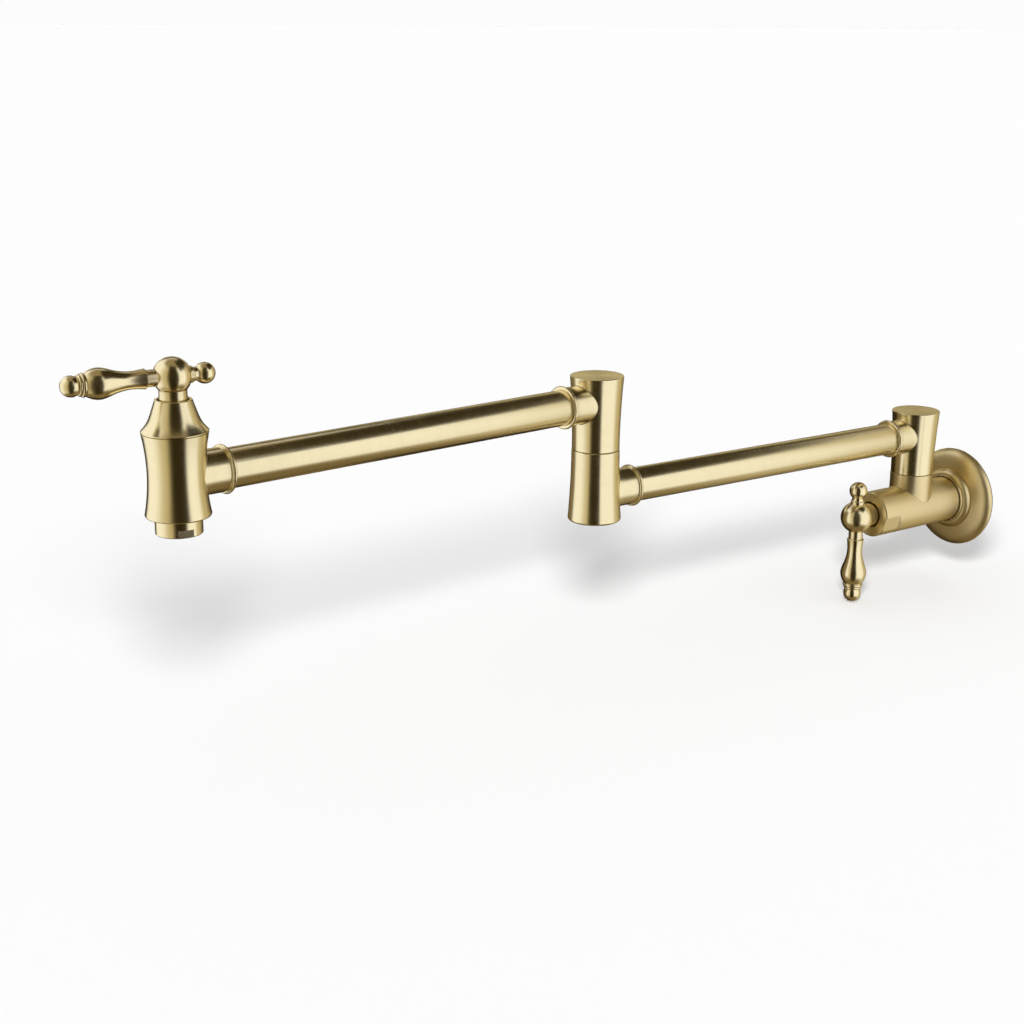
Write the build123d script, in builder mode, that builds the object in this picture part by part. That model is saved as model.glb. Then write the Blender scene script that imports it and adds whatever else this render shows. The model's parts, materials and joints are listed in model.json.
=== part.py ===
from build123d import *
import os
from math import asin, cos, degrees, radians, sin

# Wall mounted pot filler. Millimetres, +Z up. The wall is the plane Y = 0, the tap stands
# out of it along -Y, and the origin is the centre of the supply inlet on the wall.
# Plan angles turn anticlockwise seen from above, from straight out of the wall.

# ---------------------------------------------------------------- driving dimensions
# Fits
running_gap = 0.05          # radial, between a turning shaft and its bore
seat_gap = 0.05             # round pieces that are screwed, brazed or pressed together
seam_gap = 0.3              # the dark line between a turning sleeve and what carries it
edge_break = 0.3            # small chamfer on machined edges
hex_sides = 6
half_turn = 180.0           # degrees between the two sides of what is made in pairs

# Arms
tube_od = 22.0
tube_wall = 1.0
inner_reach = 291.0         # shoulder axis to elbow axis
outer_reach = 297.0         # elbow axis to spout axis
inner_angle = -1.2          # plan angles at rest
outer_angle = 4.5
neck_wall = 1.0             # of the cast necks that the tubes are brazed into
tube_engagement = 10.0      # how far a tube enters its neck
shoulder_neck = 25.3        # axis to the end of each neck
elbow_neck = 26.5
spout_neck = 25.7
bead_height = 1.4           # of the bead rings above the necks
bead_width = 2.2
bead_step_width = 0.8       # of the thin step beside each bead
bead_step_height = 0.7

# Quarter-turn ceramic cartridge, from its seat towards the handle
chamber_radius = 10.5
chamber_height = 28.0
thread_length = 14.0        # chamber to the foot of the hexagon
thread_lead = 2.0           # plain end of the threaded bore
cartridge_radius = 8.6
cartridge_thread = 8.85
cartridge_skirt = 0.8       # seat to the open end of the housing
cartridge_cavity = 7.45
gland_bush = 8.0            # from the cavity up to the level of the chamber's end
housing_seal_depth = 1.4
housing_seal_width = 1.8
housing_seal_land = 1.0     # seal groove to the hexagon
hex_height = 6.0
hex_radius = 9.1
gland_height = 2.0
gland_radius = 6.2
seat_port = 5.5
seat_seal_height = 2.5
seat_seal_bore = 4.6
disc_radius = 7.35
fixed_disc_height = 3.5
moving_disc_height = 3.2
port_orbit = 4.2
port_width = 3.0
port_sweep = 50.0
tang_width = 2.6
tang_length = 9.0
tang_depth = 1.2
window_rise = 1.25          # moving disc to the side windows
window_height = 6.0
window_width = 9.0
stem_radius = 4.6
stem_foot_radius = 5.0
stem_flange_radius = 6.8
stem_flange_height = 2.1
stem_seal_rise = 6.0        # cavity to the seal groove
stem_seal_depth = 1.1
stem_seal_width = 2.2
stop_tab_width = 2.4
stop_tab_height = 1.4
stop_play = 1.0             # degrees of play at each end of the quarter turn
quarter_turn = 90.0
clip_height = 0.8
clip_radius = 5.6
clip_groove_depth = 1.3
clip_mouth = 4.0
spline_radius = 4.0
spline_teeth = 20
spline_depth = 0.42
spline_sides = 4            # the notches are cut by the corner of a square
hub_rise = 15.4             # gland face to the middle of the handle hub
spindle_tip_drop = 3.8      # middle of the hub to the tip of the spindle

# Valve body on the wall, along its axis from the wall
body_radius = 16.3
body_chamfer = 0.6
post_offset = 49.7          # wall to the shoulder axis
seat_offset = 10.4          # valve seat to the shoulder axis
nose_cover = 1.8            # gland face to the front face of the body
boss_inset = 1.1            # the boss that carries the shoulder is slimmer than the body
boss_land = 3.25            # cartridge chamber to the foot of the shoulder thread
saddle_fillet = 0.8
wrench_flat_chord = 11.0
wrench_flat_length = 16.0
wrench_flat_turn = -18.0    # flats are clocked from level
inlet_radius = 9.32         # core radius of a G1/2 thread
inlet_length = 14.0
relief_depth = 0.58
relief_length = 3.0
water_passage = 7.0
seat_wall = 3.0
hex_clearance = 0.2
skirt_gap = 1.0             # open and dark round the skirt of the handle
inlet_washer_thickness = 1.4
inlet_washer_bore = 5.0
screen_thickness = 0.5
screen_hole = 0.8
screen_pitch = 2.4
screen_rows = 5

# Wall flange
flange_radius = 36.2
flange_edge = 1.2
flange_foot = 3.0
dome_height = 7.9
dome_wall = 1.7
dome_fullness = 0.9
gasket_thickness = 1.0
gasket_inset = 0.4
collar_width = 4.8
collar_height = 4.1
collar_groove = 0.5
lip_gap = 0.7               # flange to body, open and dark all round
lip_width = 0.6
lip_step = 1.4
lip_land = 1.05
ring_groove_depth = 1.4
ring_groove_width = 2.3
ring_groove_land = 1.2      # end of the collar to the groove

# Swivels
swivel_spindle_radius = 9.5
swivel_spindle_wall = 3.5
swivel_spindle_step = 0.6   # shoulder that the spindle is screwed down to
swivel_thread = 12.0        # how far a spindle is screwed in
seam_step = 0.2             # a turning sleeve is slimmer at the seam than what carries it
rim_flare = 1.9             # and wider at its far rim
flare_share = 0.25          # of the flare that is reached at half height
rim_round = 1.8             # rounded lower rim of the elbow
shoulder_stem = 17.0        # seam to the near side of the arm tube
elbow_lower_stem = 17.0
elbow_upper_stem = 19.1
shoulder_crown = 6.7        # far side of the arm tube to the closed end
elbow_lower_crown = 7.4
elbow_upper_crown = 5.8
elbow_floor = 3.0
washer_inset = 1.8
washer_height = 1.0
channel_depth = 1.8         # ring channel that feeds the arm at any angle
channel_half = 7.0
window_radius = 4.0
window_count = 3
grub_height = 5.0           # seam to the retaining screw
grub_radius = 2.0
grub_tip_radius = 1.3
grub_tip_length = 2.0
grub_groove_depth = 1.6
grub_groove_half = 1.9
hex_key_radius = 1.0
hex_key_depth = 2.0
seal_width = 2.4
seal_depth = 1.8
seal_land = 0.5
lower_seal = 12.0           # seam to the lower seal groove

# Handles: runs along the full-size lever and finial, with a run and a girth factor for each
hub_radius = 11.4
skirt_entry = 1.2           # how far the skirt enters the face below it
clip_clearance = 0.5        # spindle clip to the skirt
clip_room = 3.0             # gland face to the foot of the splined bore
hub_socket = 2.8            # depth of the sockets below the ball
socket_radius = 5.0         # of the lever and finial necks
tenon_radius = 2.6
tenon_land = 1.2            # splined bore to the tenons
handle_grub_rise = 2.6      # foot of the splined bore to the grub screw
handle_grub_radius = 1.6
handle_key_radius = 0.8
handle_key_depth = 1.6
neck_run = 4.4
flare_radius = 6.0
flare_edge = 0.5
waist_radius = 5.35
waist_run = 9.8
swell_radius = 7.05         # half way from the waist to the bulb
swell_run = 8.0
bulb_radius = 9.2
bulb_run = 8.1
bulb_tail = 7.4
bulb_fullness = 1.3         # how far the tail of the bulb swells outside a straight cone
bulb_end_radius = 6.4
bead_one_radius = 6.7
bead_two_radius = 6.0
bead_swell = 0.3
bead_run = 1.6
bead_gap = 0.3
button_radius = 6.2
button_neck_inset = 1.1
button_throat = 0.2
finial_foot_run = 0.5
finial_taper = 1.9
finial_shank = 0.95
finial_radius = 6.35
finial_neck_inset = 2.25
wall_handle_run_factor = 1.0
wall_handle_girth_factor = 1.0
spout_handle_run_factor = 0.952
spout_handle_girth_factor = 0.885
spout_lever_angle = -3.5    # plan angle of the spout lever at rest

# Spout head, from the outer arm's axis
seat_drop = 12.0
bonnet_thread_length = 5.6
bonnet_step = 2.8           # hexagon of the cartridge to the bonnet's thread
bonnet_wall = 2.8
bonnet_relief = 2.6         # height of the cone between the thread and the pocket
bonnet_crown = 5.2
bonnet_top_wall = 1.4
bonnet_edge = 0.9
bonnet_edge_inset = 0.25
bonnet_low_place = 4.1
bonnet_mid_place = 10.4
shoulder_land = 5.65        # bonnet thread to the widest edge
spout_wall = 4.8
skirt_edge_radius = 17.4
base_round = 1.2
seat_web = 2.7
outlet_radius = 12.5
outlet_floor = 1.3
outlet_wall = 2.0
outlet_chamfer = 0.5
outlet_spigot = 9.9
spigot_length = 5.9
spigot_wall = 1.9
outlet_flat_depth = 0.8
outlet_flat_height = 4.4
outlet_flat_turn = -13.0
outlet_washer_height = 1.2
insert_height = 6.0
insert_recess = 0.8
insert_hole = 0.9
insert_pitch = 2.6
insert_rows = 7
insert_plate = 2.0
insert_rim = 1.4

# ---------------------------------------------------------------- derived places
arm_radius = tube_od / 2
neck_bore = arm_radius + seat_gap
neck_radius = neck_bore + neck_wall
arm_bore = arm_radius - tube_wall
bead_total = bead_width + bead_step_width

hex_start = chamber_height + thread_length
gland_top = hex_start + hex_height + gland_height
hub_height = gland_top + hub_rise
spindle_tip = hub_height - spindle_tip_drop
front_bore = hex_radius + hex_clearance
skirt_radius = front_bore - skirt_gap
seat_distance = post_offset - seat_offset
body_front = seat_distance + gland_top + nose_cover

boss_radius = body_radius - boss_inset
boss_top = chamber_radius + boss_land + swivel_thread
seam_radius = boss_radius - seam_step
rim_radius = seam_radius + rim_flare
washer_radius = seam_radius - washer_inset
swivel_bore = swivel_spindle_radius - swivel_spindle_wall
spindle_thread_radius = swivel_spindle_radius - swivel_spindle_step
thread_bore = spindle_thread_radius + seat_gap
seal_stack = arm_bore + seal_land + seal_width + seal_land

shoulder_seam = boss_top + seam_gap / 2
inner_arm_z = shoulder_seam + shoulder_stem + arm_radius
elbow_seam = inner_arm_z + arm_radius + elbow_lower_stem
outer_arm_z = elbow_seam + elbow_upper_stem + arm_radius

up = Vector(0, 0, 1)
down = Vector(0, 0, -1)
out_of_wall = Vector(0, -1, 0)
to_the_right = Vector(1, 0, 0)


def heading(angle):
    """Level direction at a plan angle from straight out of the wall."""
    return Vector(sin(radians(angle)), -cos(radians(angle)), 0)


def beside(direction):
    """Level direction square to another, to the left when looking along it."""
    return up.cross(direction)


inner_dir = heading(inner_angle)
outer_dir = heading(outer_angle)
shoulder = Vector(0, -post_offset, 0)
elbow = shoulder + inner_dir * inner_reach
spout = elbow + outer_dir * outer_reach
wall_seat = out_of_wall * seat_distance
spout_seat = spout + up * (outer_arm_z - seat_drop)


def across(origin, direction, side):
    """Plane square to an axis, for outlines that are extruded along the axis."""
    return Plane(origin=origin, x_dir=side, z_dir=direction)


def lathe(origin, direction, side):
    """Plane with the radius along its X and the turning axis along its Y."""
    return Plane(origin=origin, x_dir=side, z_dir=side.cross(direction))


def spin(plane, mode=Mode.ADD):
    """Turn the pending outline about the Y axis of its lathe plane."""
    revolve(axis=Axis(plane.origin, plane.y_dir), mode=mode)


def band(inner, outer, start, end, mode=Mode.ADD):
    """Rectangle between two radii and two heights."""
    with Locations(((inner + outer) / 2, (start + end) / 2)):
        Rectangle(outer - inner, end - start, mode=mode)


def save(piece, name):
    """Label a finished piece and write it."""
    piece.part.label = name
    export_step(piece.part, f"parts/{name}.step")


os.makedirs("parts", exist_ok=True)

# ---------------------------------------------------------------- wall flange
wall_lathe = lathe(Vector(0, 0, 0), out_of_wall, to_the_right)
lip_bore = body_radius + lip_gap
lip_edge = lip_bore + lip_width
collar_radius = lip_bore + collar_width
collar_end = dome_height + collar_height
lip_front = collar_end + lip_step
ring_groove_radius = lip_bore + ring_groove_depth
ring_groove_end = collar_end - ring_groove_land
ring_groove_start = ring_groove_end - ring_groove_width
dome_edge_slope = Vector(-0.3, 1)
dome_crown_slope = Vector(-1, 0.12)

with BuildPart() as wall_gasket:
    with BuildSketch(wall_lathe):
        band(flange_radius - flange_foot, flange_radius - gasket_inset, 0, gasket_thickness)
    spin(wall_lathe)
save(wall_gasket, "wall_gasket")

with BuildPart() as wall_flange:
    with BuildSketch(wall_lathe):
        with BuildLine():
            foot = Line(
                (flange_radius - flange_foot, gasket_thickness),
                (flange_radius, gasket_thickness),
            )
            edge = Line(foot @ 1, (flange_radius, gasket_thickness + flange_edge))
            dome = Spline(
                edge @ 1,
                (collar_radius + collar_groove, dome_height),
                tangents=[dome_edge_slope, dome_crown_slope],
                tangent_scalars=[dome_fullness, dome_fullness],
            )
            groove = Polyline(
                dome @ 1,
                (collar_radius, dome_height - collar_groove),
                (collar_radius, dome_height),
            )
            collar = TangentArc(groove @ 1, (lip_edge + lip_land, collar_end), tangent=(0, 1))
            lip = Polyline(
                collar @ 1,
                (lip_edge + edge_break, collar_end),
                (lip_edge, lip_front),
                (lip_bore, lip_front),
                (lip_bore, ring_groove_end),
                (ring_groove_radius, ring_groove_end),
                (ring_groove_radius, ring_groove_start),
                (lip_bore, ring_groove_start),
                (lip_bore, dome_height - dome_wall),
                (collar_radius, dome_height - dome_wall),
            )
            Spline(
                lip @ 1,
                foot @ 0,
                tangents=[dome_crown_slope * -1, dome_edge_slope * -1],
                tangent_scalars=[dome_fullness, dome_fullness],
            )
        make_face()
    spin(wall_lathe)
save(wall_flange, "wall_flange")

with BuildPart() as flange_o_ring:
    with BuildSketch(wall_lathe):
        middle = (body_radius + ring_groove_radius) / 2
        with Locations((middle, (ring_groove_start + ring_groove_end) / 2)):
            Circle((ring_groove_radius - body_radius) / 2 - seat_gap)
    spin(wall_lathe)
save(flange_o_ring, "flange_o_ring")

# ---------------------------------------------------------------- valve body on the wall
shoulder_lathe = lathe(shoulder, up, to_the_right)
cartridge_bore = cartridge_thread + seat_gap
relief_radius = inlet_radius + relief_depth
relief_end = inlet_length + relief_length
flat_distance = (body_radius**2 - (wrench_flat_chord / 2) ** 2) ** 0.5

with BuildPart() as wall_valve_body:
    with BuildSketch(wall_lathe):
        with BuildLine():
            Polyline(
                (0, 0),
                (body_radius, 0),
                (body_radius, body_front - body_chamfer),
                (body_radius - body_chamfer, body_front),
                (0, body_front),
                close=True,
            )
        make_face()
    spin(wall_lathe)
    with BuildSketch(across(shoulder, up, to_the_right)):
        Circle(boss_radius)
    extrude(amount=boss_top)
    saddle = wall_valve_body.edges().filter_by(GeomType.BSPLINE)
    fillet(saddle, saddle_fillet)
    flat_facing = to_the_right.rotate(Axis.Y, -wrench_flat_turn)
    for outwards in (flat_facing, flat_facing * -1):
        with BuildSketch(across(outwards * flat_distance, outwards, out_of_wall)):
            with Locations((body_front - wrench_flat_length / 2, 0)):
                Rectangle(wrench_flat_length, body_radius)
        extrude(amount=body_radius, mode=Mode.SUBTRACT)
    with BuildSketch(wall_lathe):
        band(0, inlet_radius, 0, inlet_length)
        band(0, relief_radius, inlet_length, relief_end)
        band(0, water_passage, relief_end, seat_distance - seat_wall)
        band(0, seat_port, seat_distance - seat_wall, seat_distance)
        band(0, chamber_radius, seat_distance, seat_distance + chamber_height)
        band(0, cartridge_bore, seat_distance + chamber_height, seat_distance + hex_start)
        band(0, front_bore, seat_distance + hex_start, body_front)
    spin(wall_lathe, Mode.SUBTRACT)
    with BuildSketch(shoulder_lathe):
        band(0, thread_bore, boss_top - swivel_thread, boss_top)
        band(0, water_passage, 0, boss_top - swivel_thread)
    spin(shoulder_lathe, Mode.SUBTRACT)
save(wall_valve_body, "wall_valve_body")

screen_start = relief_end - screen_thickness
screen_radius = relief_radius - seat_gap

with BuildPart() as inlet_washer:
    with BuildSketch(wall_lathe):
        washer_start = screen_start - inlet_washer_thickness
        band(inlet_washer_bore, screen_radius, washer_start, screen_start)
    spin(wall_lathe)
save(inlet_washer, "inlet_washer")

with BuildPart() as inlet_screen:
    with BuildSketch(across(out_of_wall * screen_start, out_of_wall, to_the_right)):
        Circle(screen_radius)
        with HexLocations(screen_pitch / 2, screen_rows, screen_rows):
            Circle(screen_hole, mode=Mode.SUBTRACT)
    extrude(amount=screen_thickness)
save(inlet_screen, "inlet_screen")


# ---------------------------------------------------------------- quarter-turn valves
def make_cartridge(valve, seat, direction, lever_dir):
    """Ceramic cartridge that is screwed in above its seat, with its side windows open."""
    turning = lathe(seat, direction, lever_dir)
    thread_start = chamber_height + thread_lead
    cavity_top = chamber_height - gland_bush
    housing_seal_end = hex_start - housing_seal_land
    housing_seal_start = housing_seal_end - housing_seal_width
    stem_seal_start = cavity_top + stem_seal_rise
    stem_bore = stem_radius + running_gap
    moving_disc_start = seat_seal_height + fixed_disc_height + running_gap
    moving_disc_end = moving_disc_start + moving_disc_height

    # the notch that stops the tab is cut as a triangle whose far side clears the gland
    tab_half = degrees(asin(stop_tab_width / 2 / stem_bore)) + stop_play
    notch_start = -tab_half
    notch_end = quarter_turn + tab_half
    notch_reach = 2 * gland_radius / cos(radians((notch_end - notch_start) / 2))

    with BuildPart() as seat_seal:
        with BuildSketch(turning):
            band(seat_seal_bore, cartridge_cavity - seat_gap, 0, seat_seal_height)
        spin(turning)
    save(seat_seal, f"{valve}_cartridge_seat_seal")

    with BuildPart() as housing:
        with BuildSketch(turning):
            band(0, cartridge_radius, cartridge_skirt, thread_start)
            band(0, cartridge_thread, thread_start, hex_start)
            band(0, gland_radius, hex_start + hex_height, gland_top)
        spin(turning)
        with BuildSketch(across(seat + direction * hex_start, direction, lever_dir)):
            RegularPolygon(hex_radius, hex_sides)
        extrude(amount=hex_height)
        with BuildSketch(turning):
            band(0, cartridge_cavity, cartridge_skirt, cavity_top)
            band(0, stem_bore, cavity_top, gland_top)
            band(
                cartridge_thread - housing_seal_depth,
                cartridge_thread,
                housing_seal_start,
                housing_seal_end,
            )
        spin(turning, Mode.SUBTRACT)
        window_middle = moving_disc_end + window_rise + window_height / 2
        window_place = seat + direction * window_middle
        with BuildSketch(across(window_place, lever_dir, direction)):
            Rectangle(window_height, window_width)
        extrude(amount=cartridge_radius, both=True, mode=Mode.SUBTRACT)
        with BuildSketch(across(seat + direction * gland_top, direction, lever_dir)):
            Polygon(
                (0, 0),
                (notch_reach * cos(radians(notch_start)), notch_reach * sin(radians(notch_start))),
                (notch_reach * cos(radians(notch_end)), notch_reach * sin(radians(notch_end))),
                align=None,
            )
        extrude(amount=-gland_height, mode=Mode.SUBTRACT)
    save(housing, f"{valve}_cartridge_housing")

    with BuildPart() as housing_seal:
        with BuildSketch(turning):
            section = (housing_seal_depth - seat_gap) / 2
            middle = (housing_seal_start + housing_seal_end) / 2
            with Locations((cartridge_thread - section, middle)):
                Circle(section)
        spin(turning)
    save(housing_seal, f"{valve}_cartridge_o_ring")

    for name, start, height in (
        ("fixed_disc", seat_seal_height, fixed_disc_height),
        ("moving_disc", moving_disc_start, moving_disc_height),
    ):
        with BuildPart() as disc:
            with BuildSketch(across(seat + direction * start, direction, lever_dir)):
                Circle(disc_radius)
                for turn in (0, half_turn):
                    add(port_slot, rotation=turn + disc_phase[name], mode=Mode.SUBTRACT)
            extrude(amount=height)
            if name == "moving_disc":
                with BuildSketch(
                    across(seat + direction * moving_disc_end, direction, lever_dir)
                ):
                    Rectangle(tang_length + 2 * seat_gap, tang_width + 2 * seat_gap)
                extrude(amount=-tang_depth - seat_gap, mode=Mode.SUBTRACT)
        save(disc, f"{valve}_cartridge_{name}")

    flange_top = cavity_top - running_gap
    clip_start = gland_top + running_gap
    with BuildPart() as spindle:
        with BuildSketch(turning):
            band(0, stem_foot_radius, moving_disc_end + seat_gap, flange_top)
            band(0, stem_flange_radius, flange_top - stem_flange_height, flange_top)
            band(0, stem_radius, flange_top, clip_start + clip_height + seat_gap)
            band(0, spline_radius, clip_start, spindle_tip)
            band(
                stem_radius - stem_seal_depth,
                stem_radius,
                stem_seal_start,
                stem_seal_start + stem_seal_width,
                mode=Mode.SUBTRACT,
            )
            band(
                stem_radius - clip_groove_depth,
                stem_radius,
                clip_start,
                clip_start + clip_height + seat_gap,
                mode=Mode.SUBTRACT,
            )
        spin(turning)
        tang_place = seat + direction * (moving_disc_end + seat_gap)
        with BuildSketch(across(tang_place, direction, lever_dir)):
            Rectangle(tang_length, tang_width)
        extrude(amount=-tang_depth)
        tab_place = seat + direction * (gland_top - stop_tab_height - seat_gap)
        with BuildSketch(across(tab_place, direction, lever_dir)):
            band(0, gland_radius, -stop_tab_width / 2, stop_tab_width / 2)
        extrude(amount=stop_tab_height)
        spline_foot = clip_start + clip_height + 2 * seat_gap
        with BuildSketch(across(seat + direction * spline_foot, direction, lever_dir)):
            with PolarLocations(spline_radius, spline_teeth):
                RegularPolygon(spline_depth, spline_sides)
        extrude(amount=spindle_tip - spline_foot, mode=Mode.SUBTRACT)
    save(spindle, f"{valve}_cartridge_spindle")

    with BuildPart() as stem_seal:
        with BuildSketch(turning):
            section = (stem_seal_depth - seat_gap) / 2
            with Locations((stem_radius - section, stem_seal_start + stem_seal_width / 2)):
                Circle(section)
        spin(turning)
    save(stem_seal, f"{valve}_spindle_o_ring")

    with BuildPart() as clip:
        with BuildSketch(across(seat + direction * clip_start, direction, lever_dir)):
            Circle(clip_radius)
            Circle(stem_radius - clip_groove_depth + seat_gap, mode=Mode.SUBTRACT)
            band(0, 2 * clip_radius, -clip_mouth / 2, clip_mouth / 2, mode=Mode.SUBTRACT)
        extrude(amount=clip_height)
    save(clip, f"{valve}_spindle_clip")


def make_handle(valve, seat, direction, face, lever_dir, grub_dir, length, girth):
    """Ball hub on the splined spindle, with its lever, its finial and its grub screw.

    The face is the height over the seat of what the skirt of the hub enters.
    """
    centre = seat + direction * hub_height
    turning = lathe(seat, direction, lever_dir)
    ball = hub_radius * girth
    neck = socket_radius * girth
    tenon = tenon_radius * girth
    skirt = skirt_radius * girth
    skirt_start = face - skirt_entry
    spline_bore = spline_radius + seat_gap
    spline_bore_start = gland_top + clip_room
    tenon_start = spline_bore + tenon_land
    socket_floor = ball - hub_socket * girth

    with BuildPart() as hub:
        with BuildSketch(turning):
            with Locations((0, hub_height)):
                Circle(ball)
            band(0, skirt, skirt_start, hub_height)
            band(-ball, 0, hub_height - ball, hub_height + ball, mode=Mode.SUBTRACT)
        spin(turning)
        with BuildSketch(turning):
            band(0, clip_radius + clip_clearance, skirt_start, spline_bore_start)
            band(0, spline_bore, spline_bore_start, spindle_tip + seat_gap)
        spin(turning, Mode.SUBTRACT)
        for side in (lever_dir, lever_dir * -1):
            with BuildSketch(across(centre + side * socket_floor, side, direction)):
                Circle(neck + seat_gap)
            extrude(amount=ball, mode=Mode.SUBTRACT)
            with BuildSketch(across(centre + side * tenon_start, side, direction)):
                Circle(tenon + seat_gap)
            extrude(amount=ball, mode=Mode.SUBTRACT)
        grub_place = seat + direction * (spline_bore_start + handle_grub_rise)
        with BuildSketch(across(grub_place, grub_dir, direction)):
            Circle(handle_grub_radius + seat_gap)
        extrude(amount=ball, mode=Mode.SUBTRACT)
    save(hub, f"{valve}_handle_hub")

    flare_at = ball + neck_run * length
    waist_at = flare_at + waist_run * length
    swell_at = waist_at + swell_run * length
    bulb_at = swell_at + bulb_run * length
    bulb_end = bulb_at + bulb_tail * length
    bead_one_start = bulb_end + bead_gap * length
    bead_one_end = bead_one_start + bead_run * length
    bead_two_start = bead_one_end + bead_gap * length
    bead_two_end = bead_two_start + bead_run * length
    button_neck = button_radius - button_neck_inset
    button_foot = (button_radius**2 - button_neck**2) ** 0.5 * girth
    button_at = bead_two_end + button_throat * length + button_foot

    lever_lathe = lathe(centre, lever_dir, direction)
    with BuildPart() as lever:
        with BuildSketch(lever_lathe):
            with BuildLine():
                stem = Polyline(
                    (0, tenon_start + seat_gap),
                    (tenon, tenon_start + seat_gap),
                    (tenon, socket_floor + seat_gap),
                    (neck, socket_floor + seat_gap),
                    (neck, flare_at),
                    ((flare_radius - flare_edge) * girth, flare_at),
                    (flare_radius * girth, flare_at + flare_edge * length),
                )
                grip = Spline(
                    stem @ 1,
                    (waist_radius * girth, waist_at),
                    (swell_radius * girth, swell_at),
                    (bulb_radius * girth, bulb_at),
                    tangents=[grip_slope, (0, 1)],
                )
                bulb = ThreePointArc(
                    grip @ 1,
                    ((bulb_radius + bulb_end_radius + bulb_fullness) / 2 * girth,
                     (bulb_at + bulb_end) / 2),
                    (bulb_end_radius * girth, bulb_end),
                )
                gap_one = Line(bulb @ 1, (bead_one_radius * girth, bead_one_start))
                bead_one = ThreePointArc(
                    gap_one @ 1,
                    ((bead_one_radius + bead_swell) * girth, (bead_one_start + bead_one_end) / 2),
                    (bead_one_radius * girth, bead_one_end),
                )
                gap_two = Line(bead_one @ 1, (bead_two_radius * girth, bead_two_start))
                bead_two = ThreePointArc(
                    gap_two @ 1,
                    ((bead_two_radius + bead_swell) * girth, (bead_two_start + bead_two_end) / 2),
                    (button_neck * girth, bead_two_end),
                )
                throat = Line(bead_two @ 1, (button_neck * girth, button_at - button_foot))
                button = ThreePointArc(
                    throat @ 1,
                    (button_radius * girth, button_at),
                    (0, button_at + button_radius * girth),
                )
                Line(button @ 1, stem @ 0)
            make_face()
        spin(lever_lathe)
    save(lever, f"{valve}_handle_lever")

    finial_neck = (finial_radius - finial_neck_inset) * girth
    finial_ball = finial_radius * girth
    ball_foot = (finial_ball**2 - finial_neck**2) ** 0.5
    foot_at = ball + finial_foot_run * girth
    taper_at = foot_at + finial_taper * length
    finial_at = taper_at + finial_shank * length + ball_foot

    finial_lathe = lathe(centre, lever_dir * -1, direction)
    with BuildPart() as finial:
        with BuildSketch(finial_lathe):
            with BuildLine():
                foot = Polyline(
                    (0, tenon_start + seat_gap),
                    (tenon, tenon_start + seat_gap),
                    (tenon, socket_floor + seat_gap),
                    (neck, socket_floor + seat_gap),
                    (neck, foot_at),
                )
                shank = Spline(
                    foot @ 1,
                    (finial_neck, taper_at),
                    (finial_neck, finial_at - ball_foot),
                    tangents=[finial_slope, (0, 1)],
                )
                tip = ThreePointArc(
                    shank @ 1,
                    (finial_ball, finial_at),
                    (0, finial_at + finial_ball),
                )
                Line(tip @ 1, foot @ 0)
            make_face()
        spin(finial_lathe)
    save(finial, f"{valve}_handle_finial")

    screw_end = skirt - edge_break
    with BuildPart() as grub:
        with BuildSketch(across(grub_place + grub_dir * spline_bore, grub_dir, direction)):
            Circle(handle_grub_radius)
        extrude(amount=screw_end - spline_bore)
        with BuildSketch(across(grub_place + grub_dir * screw_end, grub_dir, direction)):
            RegularPolygon(handle_key_radius, hex_sides)
        extrude(amount=-handle_key_depth, mode=Mode.SUBTRACT)
    save(grub, f"{valve}_handle_grub_screw")


port_arc = CenterArc((0, 0), port_orbit, -port_sweep / 2, port_sweep)
port_slot = SlotArc(port_arc, port_width)
disc_phase = {"fixed_disc": 0, "moving_disc": quarter_turn}
grip_slope = Vector(-0.15, 1)       # of the lever as it leaves its flare
finial_slope = Vector(-1, 0.6)      # of the finial as it leaves its foot
spout_lever_dir = heading(spout_lever_angle)
bonnet_hole = skirt_radius * spout_handle_girth_factor + skirt_gap
pocket_top = bonnet_thread_length + hex_height + seam_gap
bonnet_height = pocket_top + bonnet_crown

make_cartridge("wall", wall_seat, out_of_wall, down)
make_handle(
    "wall",
    wall_seat,
    out_of_wall,
    gland_top + nose_cover,
    down,
    to_the_right * -1,
    wall_handle_run_factor,
    wall_handle_girth_factor,
)
make_cartridge("spout", spout_seat, up, spout_lever_dir)
make_handle(
    "spout",
    spout_seat,
    up,
    hex_start - bonnet_thread_length + bonnet_height,
    spout_lever_dir,
    beside(spout_lever_dir) * -1,
    spout_handle_run_factor,
    spout_handle_girth_factor,
)


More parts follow.
